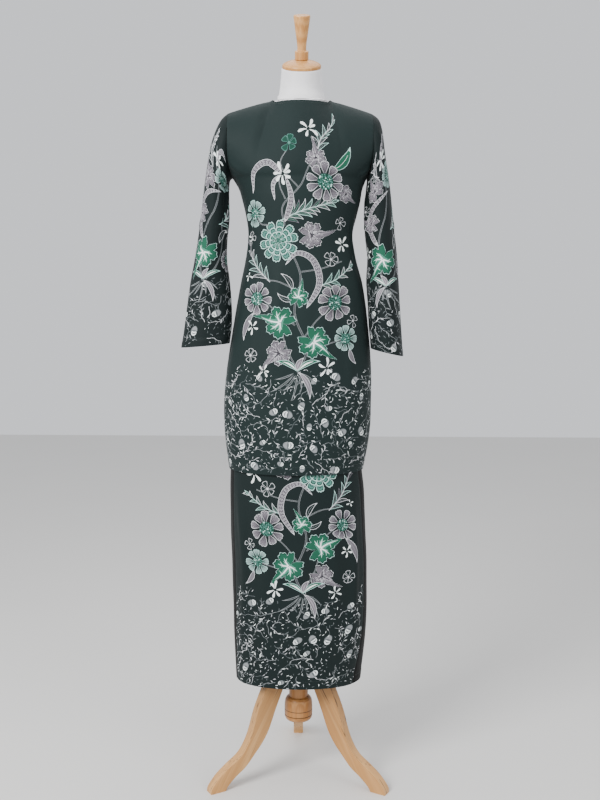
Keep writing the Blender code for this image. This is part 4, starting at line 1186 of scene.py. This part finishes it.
def jersey_finish(ribs_round=210.0, row_pitch=0.0011):
    """White knitted cover of the dress form: fine ribs of stitches, a little soiled."""
    finish = Finish("white jersey")
    x, y, up = finish.parts(finish.place())
    turn = (y - float(AXIS[1])).math("ARCTAN2", x - float(AXIS[0]))
    ribs = (turn * ribs_round).math("SINE")
    rows = (up * (2 * pi / row_pitch) + ribs).math("SINE")
    soil = finish.noise(26.0, 3.0, 0.6)
    colour = finish.blend(soil.between(0.30, 0.78), (0.80, 0.79, 0.80), (0.71, 0.70, 0.71))
    knit = finish.relief(ribs * 0.6 + rows * 0.4, 0.00008, 0.6)
    return finish.done(colour, 0.72 + 0.12 * soil, knit, sheen_weight=0.15)


def wood_finish(name, pale, dark, check_share, grooves=(), painted_shadow_at_top=0.0):
    """Pale hardwood under a thin lacquer: long grain, fine pores, growth rings, short dark checks, dark lines at the
    grooves. Paler narrow faces are painted light, and a darkening of the broad faces towards the top is painted
    shadow.
    """
    finish = Finish(name)
    grain = finish.attribute("grain", 1)

    def streaks(scale, detail=2.0, roughness=0.6):
        return finish.noise(scale, detail, roughness, grain)

    drift, figure = streaks((9.0, 9.0, 1.6), 3.0), streaks((60.0, 60.0, 2.6), 4.0, 0.62)
    pores = streaks((900.0, 900.0, 26.0))
    wave = {"Vector": finish.stretched(grain, (26.0, 26.0, 1.1)), "Scale": 3.2, "Distortion": 5.0}
    wave |= {"Detail": 3.0, "Detail Scale": 1.2}
    rings = finish.node("ShaderNodeTexWave", {"wave_type": "RINGS", "rings_direction": "Z"}, wave, 1)
    # Painted light: the legs' narrow faces are made paler, standing in for the light and glints they catch.
    edge = finish.attribute("board_edge", 2)
    tone = (0.42 * drift + 0.38 * figure + 0.20 * rings - 0.17 * edge).between(0.28, 0.74)
    colour = finish.blend(tone, finish.blend(edge, pale, (1.0, 0.79, 0.52)), dark)
    # Painted shadow: the broad faces of the legs darken towards the top, where the skirt shades them. The narrow
    # faces are left out.
    if painted_shadow_at_top:
        up = finish.parts(grain)[2].between(0.04, 0.34)
        colour = finish.blend(painted_shadow_at_top * up * (1.0 - edge), colour, toned(dark, 0.5))
    check = streaks((230.0, 230.0, 5.5), roughness=0.5).between(check_share, check_share + 0.05)
    colour = finish.blend(check * 0.80, colour, toned(dark, 0.25))
    colour = finish.blend(0.22 * pores.between(0.52, 0.70), colour, dark)
    for height in grooves:
        away = (finish.parts(finish.place())[2] - height).math("ABSOLUTE")
        colour = finish.blend(0.85 * (1.0 - away.between(0.0006, 0.0015)), colour, toned(dark, 0.16))
    cracks = streaks((105.0, 105.0, 4.2), roughness=0.5)
    crack = cracks.between(check_share + 0.045, check_share + 0.075)
    colour = finish.blend(crack * 0.88, colour, toned(dark, 0.14))
    fine = finish.relief(pores + figure * 0.6, 0.00006, 0.5, finish.relief(1.0 - check - crack, 0.00025, 0.7))
    roughness = 0.40 + 0.16 * pores + 0.10 * check
    return finish.done(colour, roughness, fine, coat_weight=0.30, coat_roughness=0.20, specular_ior_level=0.3)


def steel_finish():
    finish = Finish("drawn steel")
    drawn = finish.noise((620.0, 620.0, 9.0), 2.0, 0.6)
    colour = finish.blend(drawn, (0.50, 0.50, 0.51), (0.64, 0.64, 0.65))
    return finish.done(colour, 0.26 + 0.20 * drawn, finish.relief(drawn, 0.00004, 0.5), metallic=1.0)


def thread_finish(name, colour):
    finish = Finish(name)
    fuzz = finish.noise(2400.0, 1.0)
    shade = finish.blend(fuzz, toned(colour, 0.8), toned(colour, 1.25))
    return finish.done(shade, 0.5 + 0.2 * fuzz, finish.relief(fuzz, 0.0001, 0.4), sheen_weight=0.2)


def floor_finish():
    finish = Finish("pale floor")
    mottle = finish.noise(1.6, 2.0)
    return finish.done(finish.blend(mottle, (0.66, 0.65, 0.63), (0.69, 0.68, 0.66)), 0.62 + 0.05 * mottle)


# ---------------------------------------------------------------- pieces made by node trees


class Maker(Tree):
    """A Geometry Nodes tree that makes a plain mesh object from points and edges, with named inputs."""

    def __init__(self, name, **inputs):
        super().__init__(bpy.data.node_groups.new(name, "GeometryNodeTree"))
        for label, kind in {"Geometry": "Geometry", **inputs, "Material": "Material"}.items():
            label = label.replace("_", " ")
            self.tree.interface.new_socket(label, in_out="INPUT", socket_type="NodeSocket" + kind)
        self.tree.interface.new_socket("Geometry", in_out="OUTPUT", socket_type="NodeSocketGeometry")
        self.given = {s.name: Signal(self, s) for s in self.tree.nodes.new("NodeGroupInput").outputs}

    def close(self, geometry):
        geometry = self.node("GeometryNodeRealizeInstances", None, {"Geometry": geometry})
        values = {"Geometry": geometry, "Material": self.given["Material"]}
        self.node("NodeGroupOutput", None, {0: self.node("GeometryNodeSetMaterial", None, values)})

    def make(self, name, points, edges, **sizes):
        source = bpy.data.meshes.new(name + "_source")
        source.from_pydata([tuple(p) for p in points], edges, [])
        holder = add_object(name + "_source", source)
        modifier = holder.modifiers.new("made", "NODES")
        modifier.node_group = self.tree
        for item in self.tree.interface.items_tree:
            if item.in_out == "INPUT" and item.name.replace(" ", "_") in sizes:
                modifier[item.identifier] = sizes[item.name.replace(" ", "_")]
        graph = bpy.context.evaluated_depsgraph_get()
        mesh = bpy.data.meshes.new_from_object(holder.evaluated_get(graph), depsgraph=graph)
        mesh.name = name
        holder.modifiers.remove(modifier)
        bpy.data.objects.remove(holder)
        bpy.data.meshes.remove(source)
        return add_object(name, mesh)


def stitch_maker():
    """Small rounded stitches, end to end along the source's edges."""
    maker = Maker("stitch row", Pitch="Float", Stitch_Length="Float", Thread_Width="Float")
    node, given = maker.node, maker.given
    line = node("GeometryNodeMeshToCurve", None, {0: given["Geometry"]})
    line = node("GeometryNodeResampleCurve", {"mode": "LENGTH"}, {"Curve": line, "Length": given["Pitch"]})
    bead = node("GeometryNodeMeshIcoSphere", None, {"Radius": 0.5, "Subdivisions": 1})
    sizes = {0: given["Stitch Length"], 1: given["Thread Width"], 2: given["Thread Width"]}
    along = {"Vector": node("GeometryNodeInputTangent")}
    turn = node("FunctionNodeAlignRotationToVector", {"axis": "X"}, along)
    placed = {"Points": line, "Instance": bead, "Rotation": turn}
    placed["Scale"] = node("ShaderNodeCombineXYZ", None, sizes)
    maker.close(node("GeometryNodeInstanceOnPoints", None, placed))
    return maker


def turned_maker():
    """A turned piece: the source's points are its profile, each a radius and a height, from the foot up."""
    maker = Maker("turned piece", Sides="Int", Rings="Int", Axis="Vector")
    node, given = maker.node, maker.given

    def position():
        return node("GeometryNodeInputPosition")

    counts = {"Vertices X": given["Sides"] + 1, "Vertices Y": given["Rings"]}
    grid = node("GeometryNodeMeshGrid", None, {"Size X": 1.0, "Size Y": 1.0, **counts})
    across, up, _ = maker.parts(position())
    angle = (across + 0.5) * (2 * pi)
    index = node("FunctionNodeFloatToInt", {"rounding_mode": "ROUND"}, {0: (up + 0.5) * (given["Rings"] - 1)})
    on_points = {"data_type": "FLOAT_VECTOR", "domain": "POINT"}
    source = {"Geometry": given["Geometry"], "Value": position(), "Index": index}
    radius, _, height = maker.parts(node("GeometryNodeSampleIndex", on_points, source))
    ring = {0: radius * angle.math("COSINE"), 1: radius * angle.math("SINE"), 2: height}
    spot = node("ShaderNodeCombineXYZ", None, ring)
    shaped = node("GeometryNodeSetPosition", None, {"Geometry": grid, "Position": spot})
    grain = {"Geometry": shaped, "Name": "grain", "Value": position()}
    grained = node("GeometryNodeStoreNamedAttribute", on_points, grain)
    moved = node("GeometryNodeSetPosition", None, {"Geometry": grained, "Offset": given["Axis"]})
    maker.close(node("GeometryNodeMergeByDistance", None, {"Geometry": moved, "Distance": 1e-6}))
    return maker


TURNED, STITCHES = turned_maker(), stitch_maker()


def smooth_shaded(piece, sharp_degrees=34.0):
    piece.data.shade_smooth()
    piece.data.set_sharp_from_angle(angle=radians(sharp_degrees))
    return piece


def turned(name, profile, steps, finish, on_neck, sides=72):
    """A turned piece that stands for the node of the same place."""
    radii, heights = curve_points(profile, steps).T
    places = list(zip(np.maximum(radii, 0.0), 0 * radii, heights))
    piece = TURNED.make(name, places, [], Sides=sides, Rings=len(places), Axis=tuple(AXIS), Material=finish)
    if on_neck:
        points = np.array([vert.co for vert in piece.data.vertices])
        piece.data.vertices.foreach_set("co", (leaned(points - AXIS) + AXIS).ravel())
    return smooth_shaded(piece)


def closed_piece(name, bm, finish, sharp_degrees):
    mesh = bpy.data.meshes.new(name)
    bm.to_mesh(mesh)
    bm.free()
    mesh.materials.append(finish)
    return smooth_shaded(add_object(name, mesh), sharp_degrees)


def tube(name, rings, finish, sides=96):
    """A closed tube of cloth between rings of (radius, height) that go up outside and down inside."""
    angles = np.arange(sides) / sides * 2 * pi
    bm = bmesh.new()
    loops = []
    for ring in rings:
        radius, z = (value(angles) if callable(value) else value for value in ring)
        points = leaned(joined(radius * np.sin(angles), -radius * np.cos(angles), z)) + AXIS
        loops.append([bm.verts.new(p) for p in points])
    for low, high in zip(loops, loops[1:] + loops[:1]):
        for i in range(sides):
            bm.faces.new((low[i - 1], low[i], high[i], high[i - 1]))
    bmesh.ops.recalc_face_normals(bm, faces=bm.faces)
    return closed_piece(name, bm, finish, 50.0)


def leg_piece(name, azimuth, finish):
    """A leg cut from a board, with rounded edges. Its grain runs from its foot to the hub."""
    outline = np.concatenate([curve_points(LEG_OUTER, 5), curve_points(LEG_INNER, 5)])
    bm = bmesh.new()
    face = bm.faces.new([bm.verts.new((r, -LEG_WIDTH / 2, max(z, 0.0))) for r, z in outline])
    moved = bmesh.ops.extrude_face_region(bm, geom=[face])["geom"]
    bmesh.ops.translate(bm, verts=[v for v in moved if isinstance(v, bmesh.types.BMVert)], vec=(0, LEG_WIDTH, 0))

    def is_rounded(edge):
        """Neither on the floor nor against the hub, and not across the board."""
        first, second = (vert.co for vert in edge.verts)
        off_floor = all(co.z > 1e-4 or co.x > LEG_OUTER[0, 0] for co in (first, second))
        return off_floor and min(first.x, second.x) > COLUMN + 2 * GAP and abs(first.y - second.y) < 1e-6

    rims = [edge for edge in bm.edges if is_rounded(edge)]
    bmesh.ops.bevel(bm, geom=rims, offset=LEG_EDGE, segments=4, profile=0.5, affect="EDGES", clamp_overlap=True)
    bmesh.ops.triangulate(bm, faces=[f for f in bm.faces if len(f.verts) > 4])
    bmesh.ops.recalc_face_normals(bm, faces=bm.faces)
    grain = bm.verts.layers.float_vector.new("grain")
    painted_light_on_edge = bm.verts.layers.float.new("board_edge")
    foot = Vector((0.236, 0.0, 0.0))
    chord = (Vector((0.045, 0.0, 0.32)) - foot).normalized()
    across = Vector((chord.z, 0.0, -chord.x))
    for vert in bm.verts:
        run = vert.co - foot
        vert[grain] = (run @ across, vert.co.y + azimuth * 0.01, run @ chord)
        # Marks the narrow faces, which the wood finish paints paler as painted light.
        vert[painted_light_on_edge] = float(abs(vert.co.y) < LEG_WIDTH / 2 - 0.6 * LEG_EDGE)
    bm.transform(Matrix.Translation(Vector(AXIS)) @ Matrix.Rotation(radians(azimuth), 4, "Z"))
    return closed_piece(name, bm, finish, 30.0)


def stitched(name, lines, finish):
    """Rows of stitches through lists of points."""
    points, edges = [], []
    for line in lines:
        edges += [(len(points) + i, len(points) + i + 1) for i in range(len(line) - 1)]
        points += list(line)
    sizes = {"Pitch": 0.0030, "Stitch_Length": 0.0023, "Thread_Width": 0.00045}
    piece = STITCHES.make(name, points, edges, **sizes, Material=finish)
    piece.data.shade_smooth()
    return piece


def row_across(panel, up, ends=(0.006, 0.994), lift=0.0002, steps=90):
    """Points across a panel at one height above the floor, or above the cuff on a sleeve."""
    s = panel.across[0] + (panel.across[1] - panel.across[0]) * np.linspace(*ends, steps)
    v = np.full_like(s, np.interp(up, panel.up[panel.rising], panel.v[panel.rising]))
    return panel.point(s, v, lift) + AXIS


# ---------------------------------------------------------------- the garment


def declare(piece, slot, node=None):
    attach(piece, "root")
    if node:
        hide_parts(node)


printed, plain = cloth_finish("printed crepe", True), cloth_finish("plain crepe", False)
jersey = jersey_finish()
# The legs' wood carries painted shadow towards their tops, and its narrow faces are paler as painted light.
pale_wood = wood_finish("pale lacquered wood", (0.69, 0.400, 0.158), (0.45, 0.205, 0.056), 0.63, painted_shadow_at_top=0.68)
turned_wood = wood_finish("turned lacquered wood", (0.64, 0.335, 0.115), (0.42, 0.180, 0.042), 0.70)
# Painted shade: the hub's wood is the turned wood made darker, for the skirt's shadow over it.
hub_wood_with_painted_shade = wood_finish("turned hub wood", (0.49, 0.240, 0.082), (0.32, 0.128, 0.030), 0.70, GROOVES)
dark_thread = thread_finish("dark thread", (0.030, 0.042, 0.040))

CLOTHS = (
    # name, print, ground colour (darker on the sleeves and the skirt as painted shade), columns, rows, finish, flat
    # width and length, area, what it hangs on
    ("tunic_front", tunic_drawing(11, -1.0), GROUND, 76, 136, "printed", (0.520, 0.935), 0.452, "dress_form"),
    ("tunic_back", tunic_drawing(23, 1.0), GROUND, 76, 136, "printed", (0.520, 0.945), 0.455, "dress_form"),
    ("sleeve_right", sleeve_drawing(31, 1.0), SLEEVE_GROUND_WITH_PAINTED_SHADE, 58, 92, "printed", (0.455, 0.560), 0.185, "tunic_front"),
    ("sleeve_left", sleeve_drawing(37, -1.0), SLEEVE_GROUND_WITH_PAINTED_SHADE, 58, 92, "printed", (0.455, 0.575), 0.190, "tunic_front"),
    ("skirt_front", skirt_drawing(43), SKIRT_GROUND_WITH_PAINTED_SHADE, 64, 130, "printed", (0.400, 1.040), 0.385, "skirt_waistband"),
    ("skirt_back", Drawing(0), PLAIN, 64, 120, "plain", (0.560, 1.040), 0.520, "skirt_waistband"),
)
for name, drawing, ground_and_painted_shade, columns, rows, finish, flat, area, carrier in CLOTHS:
    piece = cloth_piece("cloth_" + name, PANELS[name], drawing, ground_and_painted_shade, columns, rows)
    piece.data.materials.append(printed if finish == "printed" else plain)
    declare(piece, finish + "_cloth", name)

STITCH_ROWS = (
    # name, the panels' names, height above the floor or the cuff, ends
    ("hem_stitches_tunic", ("tunic_front", "tunic_back"), HEM + 0.020, (0.006, 0.994)),
    ("hem_stitches_skirt", ("skirt_front", "skirt_back"), SKIRT_HEM + 0.020, (0.006, 0.994)),
    ("cuff_stitches", ("sleeve_right", "sleeve_left"), 0.020, (0.01, 0.99)),
    ("neckline_stitches", ("tunic_front", "tunic_back"), None, (0.304, 0.696)),
)
for name, panels, up, ends in STITCH_ROWS:
    panels = [PANELS[n] for n in panels]
    lines = [row_across(panel, up or max(panel.up) - 0.006, ends) for panel in panels]
    declare(stitched(name, lines, dark_thread), "plain_cloth" if "skirt" in name else "printed_cloth")

# ---------------------------------------------------------------- the dress form and its stand

# height and radius up the neck's cover, which stands off the neck and is rolled in at its top
NECK = ((1.706, 0.0574), (1.718, 0.0538), (1.734, 0.0513), (1.750, 0.0496), (1.766, 0.0483))
ROLLED = [(0.0487, 1.7765), (0.0485, 1.7795), (0.0478, 1.7809), (0.0472, 1.7811), (0.0471, 1.7800)]


def to_back(angles):
    return ease(0.5 - 0.5 * np.cos(angles) - 0.1)


def cover_foot(angles):
    """The cover's lower edge stays above the cloth behind the neck."""
    return 1.7005 + 0.0115 * to_back(angles)


def cover_radius(angles, inset=0.0):
    return 0.0586 - 0.0028 * to_back(angles) - inset


outside, inside = ([(r + off, z + 0.008 * (z < 1.71)) for z, r in NECK] for off in (0.0013, 0.0004))
foot_inside = (lambda angles: cover_radius(angles, 0.0008), cover_foot)
cover = tube("neck_cover", [(cover_radius, cover_foot), *outside, *ROLLED, *inside[::-1], foot_inside], jersey)
declare(cover, "form_white")

for name, profile, steps, wood in (
    ("neck_cap", CAP, 4, turned_wood),
    ("finial", FINIAL, 4, turned_wood),
    ("hub", HUB, 3, hub_wood_with_painted_shade),
):
    declare(turned("turned_" + name, profile, steps, wood, name != "hub"), "pale_wood", name)
for name, azimuth in LEG_AZIMUTHS.items():
    declare(leg_piece("carved_" + name, azimuth, pale_wood), "pale_wood", name)

for name, finish in (("dress_form", jersey), ("skirt_waistband", plain), ("pole", steel_finish())):
    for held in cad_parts[name].material_slots:
        held.material = finish

# ---------------------------------------------------------------- floor, light and camera

floor_mesh = bpy.data.meshes.new("floor")
floor_mesh.from_pydata([(-6, -6, 0), (6, -6, 0), (6, 6, 0), (-6, 6, 0)], [], [(0, 1, 2, 3)])
floor_mesh.materials.append(floor_finish())
add_object("floor", floor_mesh)

world = bpy.data.worlds.new("studio")
bpy.context.scene.world = world
world.use_nodes = True
world.node_tree.nodes["Background"].inputs["Color"].default_value = (0.94, 0.96, 1.0, 1.0)
world.node_tree.nodes["Background"].inputs["Strength"].default_value = 0.94

LIGHTS = (
    # name, place, size, watts
    ("key", (-1.9, -2.3, 2.8), 1.4, 170.0),
    ("fill", (2.3, -2.1, 2.1), 1.8, 34.0),
    ("top", (0.2, 0.4, 3.2), 1.8, 22.0),
)
LIT = Vector((0, -0.06, 1.1))
for name, spot, size, watts in LIGHTS:
    lamp = bpy.data.lights.new(name, "AREA")
    lamp.size, lamp.energy = size, watts
    light = add_object(name, lamp)
    light.location = spot
    light.rotation_euler = (LIT - Vector(spot)).to_track_quat("-Z", "Y").to_euler()

lens = bpy.data.cameras.new("camera")
lens.lens, lens.sensor_width = 45.0, 36.0
camera = add_object("camera", lens)
CAMERA_AWAY, CAMERA_HEIGHT, CAMERA_DOWN, CAMERA_ROLL = 2.50, 1.244, radians(6.2), atan(0.005)
camera.matrix_world = (
    Matrix.Translation((AXIS[0], AXIS[1] - CAMERA_AWAY, CAMERA_HEIGHT))
    @ Matrix.Rotation(pi / 2 - CAMERA_DOWN, 4, "X")
    @ Matrix.Rotation(CAMERA_ROLL, 4, "Z")
)
bpy.context.scene.camera = camera
